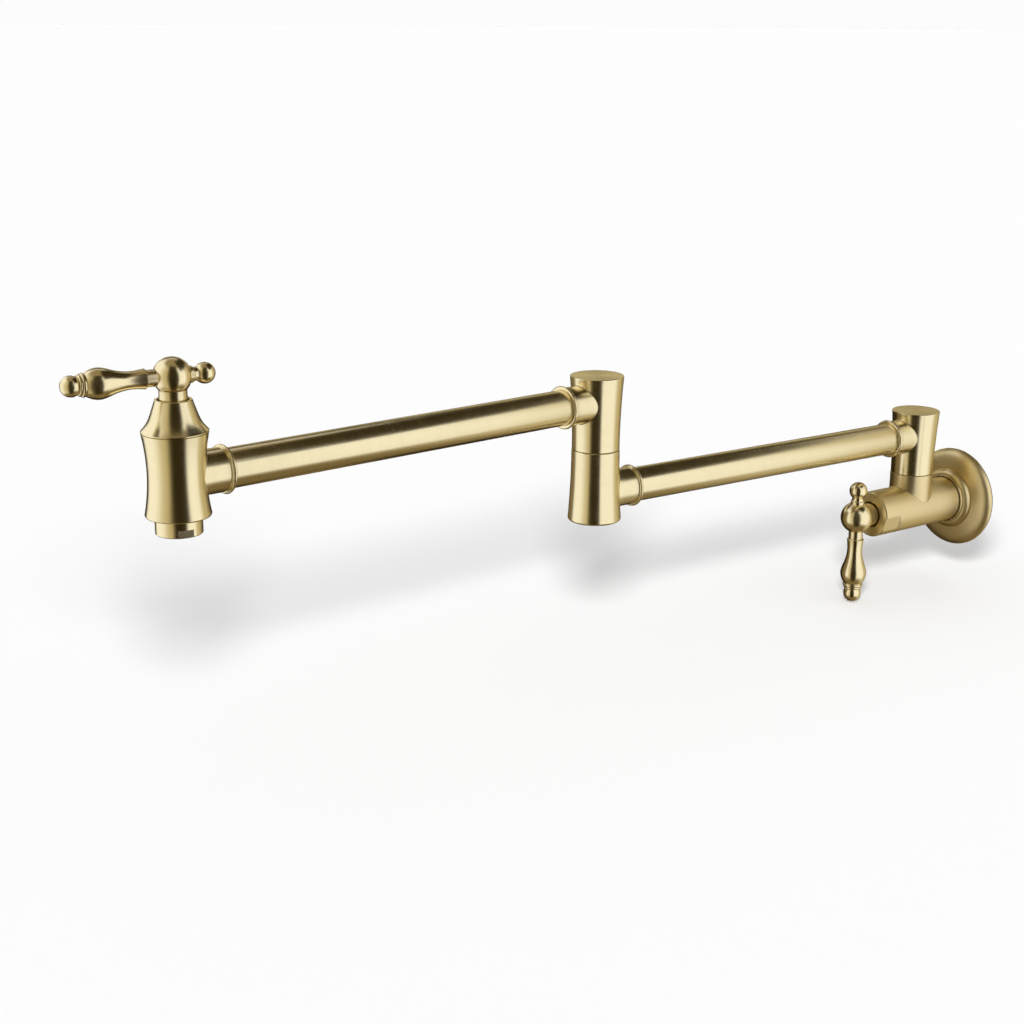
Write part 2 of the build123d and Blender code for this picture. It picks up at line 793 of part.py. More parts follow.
# ---------------------------------------------------------------- swivels
def make_spindle(name, seam, arm_height):
    """Hollow spindle that is screwed in below the seam and carries the turning sleeve."""
    turning = lathe(seam, up, to_the_right)
    shoulder_face = -seam_gap / 2
    length = arm_height + seal_stack
    seal_starts = (lower_seal, length - seal_land - seal_width)
    with BuildPart() as spindle:
        with BuildSketch(turning):
            band(0, spindle_thread_radius, shoulder_face - swivel_thread, shoulder_face)
            band(0, swivel_spindle_radius, shoulder_face, length)
            band(0, swivel_bore, shoulder_face - swivel_thread, length, mode=Mode.SUBTRACT)
            band(
                swivel_spindle_radius - grub_groove_depth,
                swivel_spindle_radius,
                grub_height - grub_groove_half,
                grub_height + grub_groove_half,
                mode=Mode.SUBTRACT,
            )
            for start in seal_starts:
                band(
                    swivel_spindle_radius - seal_depth,
                    swivel_spindle_radius,
                    start,
                    start + seal_width,
                    mode=Mode.SUBTRACT,
                )
        spin(turning)
        for turn in range(window_count):
            outwards = to_the_right.rotate(Axis.Z, turn * 360 / window_count)
            with BuildSketch(across(seam + up * arm_height, outwards, up)):
                Circle(window_radius)
            extrude(amount=swivel_spindle_radius, mode=Mode.SUBTRACT)
    save(spindle, f"{name}_spindle")

    with BuildPart() as seals:
        with BuildSketch(turning):
            section = (seal_depth - seat_gap) / 2
            for start in seal_starts:
                with Locations((swivel_spindle_radius - section, start + seal_width / 2)):
                    Circle(section)
        spin(turning)
    save(seals, f"{name}_o_rings")

    with BuildPart() as washer:
        with BuildSketch(turning):
            band(
                swivel_spindle_radius + seat_gap,
                washer_radius,
                shoulder_face,
                shoulder_face + washer_height,
            )
        spin(turning)
    save(washer, f"{name}_thrust_washer")


def make_turning_sleeve(name, seam, arm_height, crown, arm_dir, neck_end):
    """Closed sleeve that turns on a spindle, with the neck of its arm."""
    turning = lathe(seam, up, to_the_right)
    sleeve_foot = seam_gap / 2
    sleeve_bore = swivel_spindle_radius + running_gap
    height = arm_height + arm_radius + crown
    arm_axis = seam + up * arm_height
    with BuildPart() as sleeve:
        with BuildSketch(turning):
            with BuildLine():
                wall = Polyline(
                    (0, sleeve_foot),
                    (seam_radius - edge_break, sleeve_foot),
                    (seam_radius, sleeve_foot + edge_break),
                )
                flare = ThreePointArc(
                    wall @ 1,
                    (seam_radius + (rim_radius - seam_radius) * flare_share, height / 2),
                    (rim_radius, height - edge_break),
                )
                Polyline(flare @ 1, (rim_radius - edge_break, height), (0, height), wall @ 0)
            make_face()
        spin(turning)
        with BuildSketch(across(arm_axis, arm_dir, up)):
            Circle(neck_radius)
        extrude(amount=neck_end)
        with BuildSketch(turning):
            band(0, sleeve_bore, sleeve_foot, arm_height + seal_stack + seam_gap)
            band(0, washer_radius + seat_gap, sleeve_foot, washer_height - seam_gap / 2 + running_gap)
            band(
                0,
                sleeve_bore + channel_depth,
                arm_height - channel_half,
                arm_height + channel_half,
            )
        spin(turning, Mode.SUBTRACT)
        with BuildSketch(across(arm_axis, arm_dir, up)):
            Circle(arm_bore)
        extrude(amount=neck_end, mode=Mode.SUBTRACT)
        with BuildSketch(across(arm_axis + arm_dir * neck_end, arm_dir, up)):
            Circle(neck_bore)
        extrude(amount=-tube_engagement, mode=Mode.SUBTRACT)
        screw_dir = beside(arm_dir) * -1
        with BuildSketch(across(seam + up * grub_height, screw_dir, up)):
            Circle(grub_radius + seat_gap)
        extrude(amount=rim_radius, mode=Mode.SUBTRACT)
    save(sleeve, name)


def make_retaining_screw(name, seam, screw_dir):
    """Grub screw whose tip runs in the groove of the spindle and holds the sleeve down."""
    tip_start = swivel_spindle_radius - grub_groove_depth + seam_gap
    body_start = tip_start + grub_tip_length
    screw_end = seam_radius - edge_break
    place = seam + up * grub_height
    with BuildPart() as screw:
        with BuildSketch(across(place + screw_dir * tip_start, screw_dir, up)):
            Circle(grub_tip_radius)
        extrude(amount=grub_tip_length)
        with BuildSketch(across(place + screw_dir * body_start, screw_dir, up)):
            Circle(grub_radius)
        extrude(amount=screw_end - body_start)
        with BuildSketch(across(place + screw_dir * screw_end, screw_dir, up)):
            RegularPolygon(hex_key_radius, hex_sides)
        extrude(amount=-hex_key_depth, mode=Mode.SUBTRACT)
    save(screw, name)


shoulder_foot = shoulder + up * shoulder_seam
elbow_foot = elbow + up * elbow_seam

for joint, sleeve_name, seam, stem, crown, arm_dir, neck_end in (
    (
        "shoulder", "shoulder_sleeve", shoulder_foot,
        shoulder_stem, shoulder_crown, inner_dir, shoulder_neck,
    ),
    (
        "elbow", "elbow_upper_sleeve", elbow_foot,
        elbow_upper_stem, elbow_upper_crown, outer_dir, elbow_neck,
    ),
):
    make_spindle(joint, seam, stem + arm_radius)
    make_turning_sleeve(sleeve_name, seam, stem + arm_radius, crown, arm_dir, neck_end)
    make_retaining_screw(f"{joint}_grub_screw", seam, beside(arm_dir) * -1)

elbow_lower_arm = elbow_lower_stem + arm_radius
elbow_lower_height = elbow_lower_arm + arm_radius + elbow_lower_crown
elbow_lathe = lathe(elbow_foot, down, to_the_right)
back_along_inner = inner_dir * -1
with BuildPart() as elbow_lower_sleeve:
    with BuildSketch(elbow_lathe):
        with BuildLine():
            wall = Polyline(
                (0, seam_gap / 2),
                (boss_radius - edge_break, seam_gap / 2),
                (boss_radius, seam_gap / 2 + edge_break),
            )
            flare = ThreePointArc(
                wall @ 1,
                (boss_radius + (rim_radius - boss_radius) * flare_share, elbow_lower_height / 2),
                (rim_radius, elbow_lower_height - rim_round),
            )
            rounding = RadiusArc(flare @ 1, (rim_radius - rim_round, elbow_lower_height), -rim_round)
            Polyline(rounding @ 1, (0, elbow_lower_height), wall @ 0)
        make_face()
    spin(elbow_lathe)
    with BuildSketch(across(elbow + up * inner_arm_z, back_along_inner, up)):
        Circle(neck_radius)
    extrude(amount=elbow_neck)
    with BuildSketch(elbow_lathe):
        band(0, thread_bore, seam_gap / 2, seam_gap / 2 + swivel_thread)
        band(0, swivel_bore, swivel_thread, elbow_lower_arm)
        band(0, arm_bore, elbow_lower_arm - arm_bore, elbow_lower_height - elbow_floor)
    spin(elbow_lathe, Mode.SUBTRACT)
    with BuildSketch(across(elbow + up * inner_arm_z, back_along_inner, up)):
        Circle(arm_bore)
    extrude(amount=elbow_neck, mode=Mode.SUBTRACT)
    inner_far_neck = elbow + up * inner_arm_z + back_along_inner * elbow_neck
    with BuildSketch(across(inner_far_neck, back_along_inner, up)):
        Circle(neck_bore)
    extrude(amount=-tube_engagement, mode=Mode.SUBTRACT)
save(elbow_lower_sleeve, "elbow_lower_sleeve")


# ---------------------------------------------------------------- arms
def make_arm(name, start, direction, reach, near_neck, far_neck, ring_names):
    """Tube between two necks, and the bead ring that covers each brazed joint."""
    near_end = near_neck - tube_engagement + seat_gap
    far_end = reach - far_neck + tube_engagement - seat_gap
    with BuildPart() as tube:
        with BuildSketch(across(start + direction * near_end, direction, up)):
            Circle(arm_radius)
            Circle(arm_radius - tube_wall, mode=Mode.SUBTRACT)
        extrude(amount=far_end - near_end)
    save(tube, f"{name}_tube")

    necks = (
        (start + direction * near_neck, direction),
        (start + direction * (reach - far_neck), direction * -1),
    )
    for ring_name, (neck_face, away) in zip(ring_names, necks):
        ring_lathe = lathe(neck_face, away, up)
        step_top = neck_radius + bead_step_height
        bead_top = neck_radius + bead_height
        with BuildPart() as ring:
            with BuildSketch(ring_lathe):
                with BuildLine():
                    step = Polyline(
                        (neck_bore, 0),
                        (step_top - edge_break, 0),
                        (step_top, edge_break),
                        (step_top, bead_step_width - edge_break / 2),
                        (step_top - edge_break, bead_step_width),
                    )
                    bead = ThreePointArc(
                        step @ 1,
                        (bead_top, bead_step_width + bead_width / 2),
                        (neck_radius, bead_total),
                    )
                    Polyline(bead @ 1, (neck_bore, bead_total), step @ 0)
                make_face()
            spin(ring_lathe)
        save(ring, ring_name)


make_arm(
    "inner_arm",
    shoulder + up * inner_arm_z,
    inner_dir,
    inner_reach,
    shoulder_neck,
    elbow_neck,
    ("inner_arm_shoulder_ring", "inner_arm_elbow_ring"),
)
make_arm(
    "outer_arm",
    elbow + up * outer_arm_z,
    outer_dir,
    outer_reach,
    elbow_neck,
    spout_neck,
    ("outer_arm_elbow_ring", "outer_arm_spout_ring"),
)

# ---------------------------------------------------------------- spout head
spout_axis = spout + up * outer_arm_z
spout_lathe = lathe(spout_axis, up, outer_dir)
back_along_outer = outer_dir * -1
spigot_bore = outlet_spigot + seat_gap
spigot_top = -seat_drop - seat_web
base_drop = seat_drop + seat_web + spigot_length
bonnet_thread_top = hex_start - seat_drop
shoulder_rise = bonnet_thread_top - bonnet_thread_length
bonnet_thread = hex_radius + bonnet_step
shoulder_radius = bonnet_thread + shoulder_land
spout_waist = chamber_radius + spout_wall

with BuildPart() as spout_body:
    with BuildSketch(spout_lathe):
        with BuildLine():
            base = Line((0, -base_drop), (skirt_edge_radius - base_round, -base_drop))
            rounding = RadiusArc(base @ 1, (skirt_edge_radius, -base_drop + base_round), -base_round)
            waist = ThreePointArc(
                rounding @ 1,
                (spout_waist, 0),
                (shoulder_radius, shoulder_rise - edge_break),
            )
            Polyline(
                waist @ 1,
                (shoulder_radius - edge_break, shoulder_rise),
                (bonnet_thread, shoulder_rise),
                (bonnet_thread, bonnet_thread_top),
                (0, bonnet_thread_top),
                base @ 0,
            )
        make_face()
    spin(spout_lathe)
    with BuildSketch(across(spout_axis, back_along_outer, up)):
        Circle(neck_radius)
    extrude(amount=spout_neck)
    with BuildSketch(spout_lathe):
        band(0, spigot_bore, -base_drop, spigot_top)
        band(0, seat_port, spigot_top, -seat_drop)
        band(0, chamber_radius, -seat_drop, chamber_height - seat_drop)
        band(0, cartridge_bore, chamber_height - seat_drop, bonnet_thread_top)
    spin(spout_lathe, Mode.SUBTRACT)
    with BuildSketch(across(spout_axis, back_along_outer, up)):
        Circle(arm_bore)
    extrude(amount=spout_neck, mode=Mode.SUBTRACT)
    outer_far_neck = spout_axis + back_along_outer * spout_neck
    with BuildSketch(across(outer_far_neck, back_along_outer, up)):
        Circle(neck_bore)
    extrude(amount=-tube_engagement, mode=Mode.SUBTRACT)
save(spout_body, "spout_body")

bonnet_lathe = lathe(spout_axis + up * shoulder_rise, up, outer_dir)
pocket_radius = hex_radius + seam_gap
bonnet_edge_radius = shoulder_radius - bonnet_edge_inset
bonnet_top_radius = bonnet_hole + bonnet_top_wall
with BuildPart() as spout_bonnet:
    with BuildSketch(bonnet_lathe):
        with BuildLine():
            foot = Polyline(
                (bonnet_thread + seat_gap, 0),
                (bonnet_edge_radius, 0),
                (shoulder_radius, edge_break),
            )
            edge = ThreePointArc(
                foot @ 1,
                (shoulder_radius, (edge_break + bonnet_edge) / 2),
                (bonnet_edge_radius, bonnet_edge),
            )
            bell = Spline(
                edge @ 1,
                (bonnet_thread + bonnet_wall, bonnet_low_place),
                (hex_radius + bonnet_wall, bonnet_mid_place),
                (bonnet_top_radius, bonnet_height - edge_break),
            )
            Polyline(
                bell @ 1,
                (bonnet_top_radius - edge_break, bonnet_height),
                (bonnet_hole, bonnet_height),
                (bonnet_hole, pocket_top),
                (pocket_radius, pocket_top),
                (pocket_radius, bonnet_thread_length + bonnet_relief),
                (bonnet_thread + seat_gap, bonnet_thread_length + seam_gap),
                foot @ 0,
            )
        make_face()
    spin(bonnet_lathe)
save(spout_bonnet, "spout_bonnet")

outlet_lathe = lathe(spout_axis - up * base_drop, down, outer_dir)
outlet_bore = outlet_spigot - spigot_wall
insert_radius = outlet_radius - outlet_wall
insert_start = outlet_floor + outlet_washer_height
insert_end = insert_start + insert_height
outlet_height = insert_end + insert_recess
with BuildPart() as aerator_housing:
    with BuildSketch(outlet_lathe):
        with BuildLine():
            Polyline(
                (outlet_bore, -spigot_length + seam_gap),
                (outlet_spigot, -spigot_length + seam_gap),
                (outlet_spigot, 0),
                (outlet_radius, 0),
                (outlet_radius, outlet_height - outlet_chamfer),
                (outlet_radius - outlet_chamfer, outlet_height),
                (insert_radius + seat_gap, outlet_height),
                (insert_radius + seat_gap, outlet_floor),
                (outlet_bore, outlet_floor),
                close=True,
            )
        make_face()
    spin(outlet_lathe)
    flat_facing = beside(outer_dir).rotate(Axis.Z, outlet_flat_turn)
    for outwards in (flat_facing, flat_facing * -1):
        flat_place = outlet_lathe.origin + outwards * (outlet_radius - outlet_flat_depth)
        with BuildSketch(across(flat_place, outwards, down)):
            with Locations((outlet_height - outlet_flat_height / 2, 0)):
                Rectangle(outlet_flat_height, 2 * outlet_radius)
        extrude(amount=outlet_radius, mode=Mode.SUBTRACT)
save(aerator_housing, "aerator_housing")

with BuildPart() as aerator_washer:
    with BuildSketch(outlet_lathe):
        band(outlet_bore, insert_radius, outlet_floor, insert_start)
    spin(outlet_lathe)
save(aerator_washer, "aerator_washer")

with BuildPart() as aerator_insert:
    with BuildSketch(outlet_lathe):
        band(insert_radius - insert_rim, insert_radius, insert_start, insert_end)
    spin(outlet_lathe)
    plate_place = outlet_lathe.origin + down * (insert_end - insert_plate)
    with BuildSketch(across(plate_place, down, outer_dir)):
        Circle(insert_radius - insert_rim)
        with HexLocations(insert_pitch / 2, insert_rows, insert_rows):
            Circle(insert_hole, mode=Mode.SUBTRACT)
    extrude(amount=insert_plate)
save(aerator_insert, "aerator_insert")
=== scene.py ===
"""Wall mounted pot filler in brushed gold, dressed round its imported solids.

Outlines are in millimetres, as pairs of radius and height along the turning axis. Meshes,
places and properties are in metres.
"""

import cmath
import json
import math
from types import SimpleNamespace

import bmesh
import bpy
import numpy as np
from bpy.props import FloatProperty, FloatVectorProperty, IntProperty, PointerProperty
from mathutils import Matrix, Vector


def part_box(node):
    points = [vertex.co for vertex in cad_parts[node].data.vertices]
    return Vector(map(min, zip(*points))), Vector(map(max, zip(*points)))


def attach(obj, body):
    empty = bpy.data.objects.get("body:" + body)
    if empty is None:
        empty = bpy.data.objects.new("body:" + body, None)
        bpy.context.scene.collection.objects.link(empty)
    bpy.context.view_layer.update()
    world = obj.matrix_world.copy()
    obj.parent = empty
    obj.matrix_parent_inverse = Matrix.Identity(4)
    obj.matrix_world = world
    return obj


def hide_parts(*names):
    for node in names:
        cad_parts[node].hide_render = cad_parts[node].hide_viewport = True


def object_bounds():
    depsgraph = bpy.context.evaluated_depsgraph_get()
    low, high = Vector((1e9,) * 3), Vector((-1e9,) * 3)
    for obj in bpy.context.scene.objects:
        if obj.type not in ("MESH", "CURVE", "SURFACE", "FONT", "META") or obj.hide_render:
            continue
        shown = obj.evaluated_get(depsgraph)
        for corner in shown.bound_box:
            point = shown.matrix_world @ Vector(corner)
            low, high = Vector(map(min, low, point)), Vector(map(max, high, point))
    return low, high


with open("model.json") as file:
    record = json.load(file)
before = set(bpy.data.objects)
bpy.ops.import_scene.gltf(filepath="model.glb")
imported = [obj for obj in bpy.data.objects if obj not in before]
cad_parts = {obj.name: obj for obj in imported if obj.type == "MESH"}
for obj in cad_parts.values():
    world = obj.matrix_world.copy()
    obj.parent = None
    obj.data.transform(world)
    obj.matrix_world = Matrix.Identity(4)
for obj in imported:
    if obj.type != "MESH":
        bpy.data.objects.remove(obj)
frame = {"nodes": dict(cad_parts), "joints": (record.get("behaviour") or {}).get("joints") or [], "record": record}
cad_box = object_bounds()

bl_info = {
    "name": "Wall Mounted Pot Filler",
    "version": (1, 0, 0),
    "blender": (4, 5, 0),
    "location": "View3D > Sidebar > Pot Filler",
    "description": "Turned, cast and brushed pieces of a double-jointed pot filler",
    "category": "Object",
}

MM = 0.001
UP = Vector((0, 0, 1))
DOWN = Vector((0, 0, -1))
OUT_OF_WALL = Vector((0, -1, 0))
TO_THE_RIGHT = Vector((1, 0, 0))
TURN = 2 * math.pi

# ------------------------------------------------------------------ places, from the frame
joints = {joint["name"]: Vector(joint["pos_m"]) for joint in frame["joints"]}


def middle(node):
    """Centre of a CAD node's box."""
    low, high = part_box(node)
    return (low + high) / 2


shoulder = joints["shoulder_swivel"]
elbow = joints["elbow_swivel"]
spout = joints["spout_valve_turn"]
inner_dir = (elbow - shoulder).xy.normalized().to_3d()
outer_dir = (spout - elbow).xy.normalized().to_3d()
inner_arm_z = middle("inner_arm_tube").z / MM
outer_arm_z = middle("outer_arm_tube").z / MM
inner_reach = (elbow - shoulder).xy.length / MM
outer_reach = (spout - elbow).xy.length / MM
spout_lever_dir = (middle("spout_handle_lever") - middle("spout_handle_hub")).xy.normalized().to_3d()
wall_hub_distance = -middle("wall_handle_hub").y / MM

# ------------------------------------------------------------------ forms, in millimetres
SEAT_GAP = 0.05
SEAM_GAP = 0.3
EDGE_BREAK = 0.3
CORNER_ANGLE = math.radians(25)
SHARP_ANGLE = math.radians(38)
EDGE_SUPPORT = 0.15         # flat strip kept beside each rounded edge
EDGE_SHARE = 0.42           # most of a straight run that a rounded edge may take
EDGE_FADE = 0.25            # painted edge highlight and corner shade that is left at the end of that strip
WELD = 2e-6                 # in metres, as the next
SLIVER = 1e-7
ROUND_STEPS = 4
CURVE_STEPS = 16
WALL_STEP = 1.5             # height between rows of a cast wall
FILLET_STEPS = 6
FILLET_PASSES = 8
SLOPE_STEP = 0.01
PATCH_LAYERS = 7
NECK_LEAD_ROWS = 3
DRILL_SEGMENTS = 96
DRILL_ROOM = 1.0            # how far a drill starts before or ends after the wall
DEEP_DRILL_ROOM = 1.5
LONG_DRILL_ROOM = 2.0
WALL_MARGIN = 1.0           # a flat is cut only this far outside the bore
END_LEAD = 4.0              # the leads are plain rows of points beside an end, face or flat
NECK_LEAD = 3.0
FLAT_LEAD = 2.0
FACE_LEAD = 1.0

TUBE_RADIUS = 11.0
TUBE_WALL = 1.0
TUBE_EDGE = 0.2
TUBE_WELD = 1e-6            # in metres
NECK_BORE = 11.05
NECK_RADIUS = 12.05
TUBE_ENGAGEMENT = 10.0
SHOULDER_NECK = 25.3
ELBOW_NECK = 26.5
SPOUT_NECK = 25.7
NECK_WINDOW = 15.5          # half of the wall's height that a neck's patch takes
NECK_WINDOW_TURN = math.radians(67.5)
BEAD_HEIGHT = 1.4
BEAD_WIDTH = 2.2
BEAD_STEP_WIDTH = 0.8
BEAD_STEP_HEIGHT = 0.7

FLANGE_RADIUS = 36.2
FLANGE_FOOT = 3.0
FLANGE_EDGE = 1.2
GASKET = 1.0
DOME_HEIGHT = 7.9
DOME_WALL = 1.7
DOME_FULLNESS = 0.9
DOME_EDGE_SLOPE = (-0.3, 1.0)
DOME_CROWN_SLOPE = (-1.0, 0.12)
COLLAR_RADIUS = 21.8
COLLAR_GROOVE = 0.5
COLLAR_END = 12.0
COLLAR_TOP_RADIUS = 18.65
LIP_EDGE = 17.6
LIP_BORE = 17.0
LIP_FRONT = 13.4
RING_GROOVE = (18.4, 8.5, 10.8)     # radius, start, end

BODY_RADIUS = 16.3
BODY_FRONT = 91.1
BODY_CHAMFER = 0.6
BODY_BACK_ROW = 14.0
FRONT_BORE = 9.3
FRONT_BORE_START = 81.3
POST_OFFSET = 49.7
BOSS_RADIUS = 15.2
BOSS_TOP = 25.75
BOSS_WINDOW = 19.5
BOSS_WINDOW_TURN = math.radians(80)
SPINDLE_BORE = 8.95
SPINDLE_BORE_DEPTH = 12.0
WRENCH_FLAT_CHORD = 11.0
WRENCH_FLAT_LENGTH = 16.0
WRENCH_FLAT_TURN = math.radians(-18)
FLAT_RUNOUT = 2.4
BODY_CREASE = 0.006         # turns between the two rows that make a flat's edge sharp
THREAD_CORE = 9.32
THREAD_ROOT = 10.4
THREAD_LENGTH = 14.0
THREAD_STEPS = 72           # points in each turn
THREAD_SINK = -0.15         # foot of the ridge below the root, as a share of its depth
THREAD_FOOT = 0.49          # half widths as shares of the pitch
THREAD_CREST = 0.06
INLET_RELIEF = 9.9
INLET_DEPTH = 17.0

SEAM_RADIUS = 15.0
RIM_RADIUS = 16.9
FLARE_SHARE = 0.25
RIM_ROUND = 1.8
STEM = {"shoulder": 17.0, "elbow_lower": 17.0, "elbow_upper": 19.1}
CROWN = {"shoulder": 6.7, "elbow_lower": 7.4, "elbow_upper": 5.8}
SLEEVE_BORE = 9.55
SLEEVE_BORE_RISE = 14.5
WASHER_POCKET = (13.25, 1.0)        # radius and depth
GRUB_HEIGHT = 5.0
GRUB_HOLE = 2.05

HUB_RADIUS = 11.4
SKIRT_RADIUS = 8.3
HUB_BORE = 6.1
SOCKET_DEPTH = 2.8
SOCKET_RADIUS = 5.0
TENON_RADIUS = 2.6
TENON_START = 5.25
HANDLE_GRUB_RISE = 5.6
HANDLE_GRUB_HOLE = 1.65
HUB_RISE = 15.4                     # gland face to the middle of the hub
CLIP_ROOM = 3.0
NECK_RUN = 4.4
FLARE_RADIUS = 6.0
FLARE_EDGE = 0.5
FLARE_SLOPE = (-0.15, 1)
WAIST_RADIUS = 5.35
WAIST_RUN = 9.8
SWELL_RADIUS = 7.05
SWELL_RUN = 8.0
BULB_RADIUS = 9.2
BULB_RUN = 8.1
BULB_TAIL = 7.4
BULB_FULLNESS = 1.3
BULB_END_RADIUS = 6.4
BEAD_ONE_RADIUS = 6.7
BEAD_TWO_RADIUS = 6.0
BEAD_SWELL = 0.3
BEAD_RUN = 1.6
BEAD_GAP = 0.3
BUTTON_RADIUS = 6.2
BUTTON_NECK = 5.1
BUTTON_THROAT = 0.2
FINIAL_FOOT_RUN = 0.5
FINIAL_TAPER = 1.9
FINIAL_SHANK = 0.95
FINIAL_RADIUS = 6.35
FINIAL_NECK = 4.1
FINIAL_SLOPE = (-1, 0.6)
HANDLES = {                         # length and girth of each against the full-size lever
    "wall": (1.0, 1.0),
    "spout": (0.952, 0.885),
}

SPOUT_WAIST = 15.3
SKIRT_EDGE_RADIUS = 17.4
SHOULDER_RADIUS = 17.55
BASE_DROP = 20.6
BASE_ROUND = 1.2
SHOULDER_RISE = 24.4
SPIGOT_BORE = 9.95
SPIGOT_TOP = -14.7
BONNET_THREAD = 11.9
BONNET_THREAD_LENGTH = 5.6
BONNET_HEIGHT = 17.1
BONNET_HOLE = 8.35
BONNET_TOP_WALL = 1.4
BONNET_EDGE = 0.9
BONNET_EDGE_INSET = 0.25
BONNET_EDGE_BOW = 0.01
BONNET_SEAM_DEPTH = 0.9
BONNET_PLACES = ((14.7, 4.1), (11.9, 10.4))
POCKET_RADIUS = 9.4
POCKET_TOP = 11.9
POCKET_START = 8.2
OUTLET_RADIUS = 12.5
OUTLET_HEIGHT = 9.3
OUTLET_CHAMFER = 0.5
OUTLET_SPIGOT = 9.9
OUTLET_BORE = 8.0
OUTLET_FLOOR = 1.3
OUTLET_FLAT_DEPTH = 0.8
OUTLET_FLAT_HEIGHT = 4.4
OUTLET_FLAT_STEP = 0.08
OUTLET_FLAT_LEAD = 0.5
OUTLET_CUT_LEAD = 0.6
OUTLET_CREASE = 0.008
OUTLET_FLAT_TURN = math.radians(-13)
SPIGOT_LENGTH = 5.6
INSERT_RADIUS = 10.5
INSERT_START = 2.5
INSERT_END = 8.5
INSERT_RIM = 1.4
INSERT_PLATE = 2.0
INSERT_INSET = 0.15
AERATOR_MARGIN = 0.4
SCREEN_MARGIN = 0.5
PLATE_SIDES = 96
HOLE_ROWS = 13


# ------------------------------------------------------------------ settings
def length_prop(name, description, size, least=0.1):
    """Property for a length, with its default and least value in millimetres."""
    return FloatProperty(
        name=name, description=description, unit="LENGTH", default=size * MM, min=least * MM
    )


def colour_prop(name, description, colour):
    """Property for a colour."""
    return FloatVectorProperty(
        name=name, description=description, subtype="COLOR", size=3, default=colour,
        min=0.0, max=1.0,
    )


def factor_prop(name, description, amount):
    """Property between nothing and one."""
    return FloatProperty(
        name=name, description=description, subtype="FACTOR", default=amount, min=0.0, max=1.0
    )


class FillerSizes(bpy.types.PropertyGroup):
    """Small forms that the solids leave plain."""

    edge_round: length_prop("Edge Rounding", "Radius of the eased edges", 0.22, least=0.0)
    neck_fillet: length_prop("Neck Fillet", "Radius where a neck leaves its sleeve", 0.7)
    saddle_fillet: length_prop("Saddle Fillet", "Radius where the post boss leaves the body", 0.8)
    thread_pitch: length_prop("Thread Pitch", "Pitch of the supply thread", 1.814, least=0.5)
    aerator_hole: length_prop("Aerator Hole", "Radius of the holes in the aerator", 0.95)
    aerator_pitch: length_prop("Aerator Pitch", "Distance between the aerator's holes", 2.25, 0.5)
    screen_hole: length_prop("Screen Hole", "Radius of the holes in the inlet screen", 0.8)
    screen_pitch: length_prop("Screen Pitch", "Distance between the screen's holes", 2.078, 0.5)
    segments: IntProperty(
        name="Segments", description="Faces round a turned piece", default=144, min=24
    )


class FillerFinish(bpy.types.PropertyGroup):
    """Colours and finishes."""

    gold: colour_prop("Gold", "Brushed gold of the castings and tubes", (0.985, 0.862, 0.555))
    handle_gold: colour_prop(
        "Handle Gold", "Polished gold of levers and finials", (0.985, 0.855, 0.545)
    )
    satin_gold: colour_prop("Satin Gold", "Softer gold of the flange and body", (0.92, 0.77, 0.44))
    raw_brass: colour_prop("Raw Brass", "Machined brass inside", (0.72, 0.55, 0.26))
    # colour of the painted shade that darkens the gold in seams, fillets and inner corners
    recess: colour_prop("Recess", "Tint of the finish in seams and corners", (0.34, 0.24, 0.09))
    gold_roughness: factor_prop("Gold Roughness", "Roughness of the brushed gold", 0.205)
    handle_roughness: factor_prop("Handle Roughness", "Roughness of the polished handles", 0.20)
    satin_roughness: factor_prop("Satin Roughness", "Roughness of the flange and body", 0.33)
    grain: FloatProperty(
        name="Grain Density", description="Brush lines in each metre across the grain",
        default=1300.0, min=1.0,
    )


class FillerStudio(bpy.types.PropertyGroup):
    """Floor, background and lamps."""

    backdrop: factor_prop("Backdrop", "Brightness of the white background", 0.975)
    fill: factor_prop("Fill", "Light of the surroundings on matt surfaces", 0.63)
    key: FloatProperty(
        name="Key", description="Strength of the soft key lamp", unit="POWER",
        default=0.22, min=0.0,
    )
    floor: colour_prop("Floor", "Colour of the floor", (0.955, 0.955, 0.955))
    flag: colour_prop("Flag", "Dark of the flags that shape the reflections", (0.022, 0.015, 0.004))
    scrim: colour_prop("Scrim", "Warm middle tone of the scrims", (0.54, 0.47, 0.29))
    shade: colour_prop("Shade", "Warm darker tone beside and below", (0.27, 0.215, 0.13))
    dusk: colour_prop(
        "Dusk", "Dim tone that the wall flange and the undersides face", (0.18, 0.135, 0.065)
    )


# ------------------------------------------------------------------ outlines
def circle(start, through, end):
    """Centre and radius of the circle through three points."""
    a, m, b = (complex(*point) for point in (start, through, end))
    w = (b - a) / (m - a)
    centre = a - (a - m) * (w - abs(w) ** 2) / (2j * w.imag)
    return centre, abs(a - centre)


def arc(start, through, end, steps=CURVE_STEPS):
    """Points after the start on the circle through three points."""
    centre, radius = circle(start, through, end)
    first, half, last = (
        cmath.phase(complex(*point) - centre) for point in (start, through, end)
    )
    half = (half - first) % TURN
    sweep = (last - first) % TURN
    if half > sweep:
        sweep -= TURN
    spots = [
        centre + cmath.rect(radius, first + sweep * step / steps) for step in range(1, steps)
    ]
    return [*((spot.real, spot.imag) for spot in spots), tuple(end)]


def quarter_round(start, corner, end):
    """Points after the start on the quarter circle that rounds a square corner."""
    inset = 1 - math.sqrt(0.5)
    through = [c + (s + e - 2 * c) * inset for s, c, e in zip(start, corner, end)]
    return arc(start, through, end, 8)


def bowed(start, through, end):
    """Wall that bows inwards through three points, as a radius for a height."""
    centre, radius = circle(start, through, end)
    return lambda height: centre.real - math.sqrt(radius**2 - (height - centre.imag) ** 2)


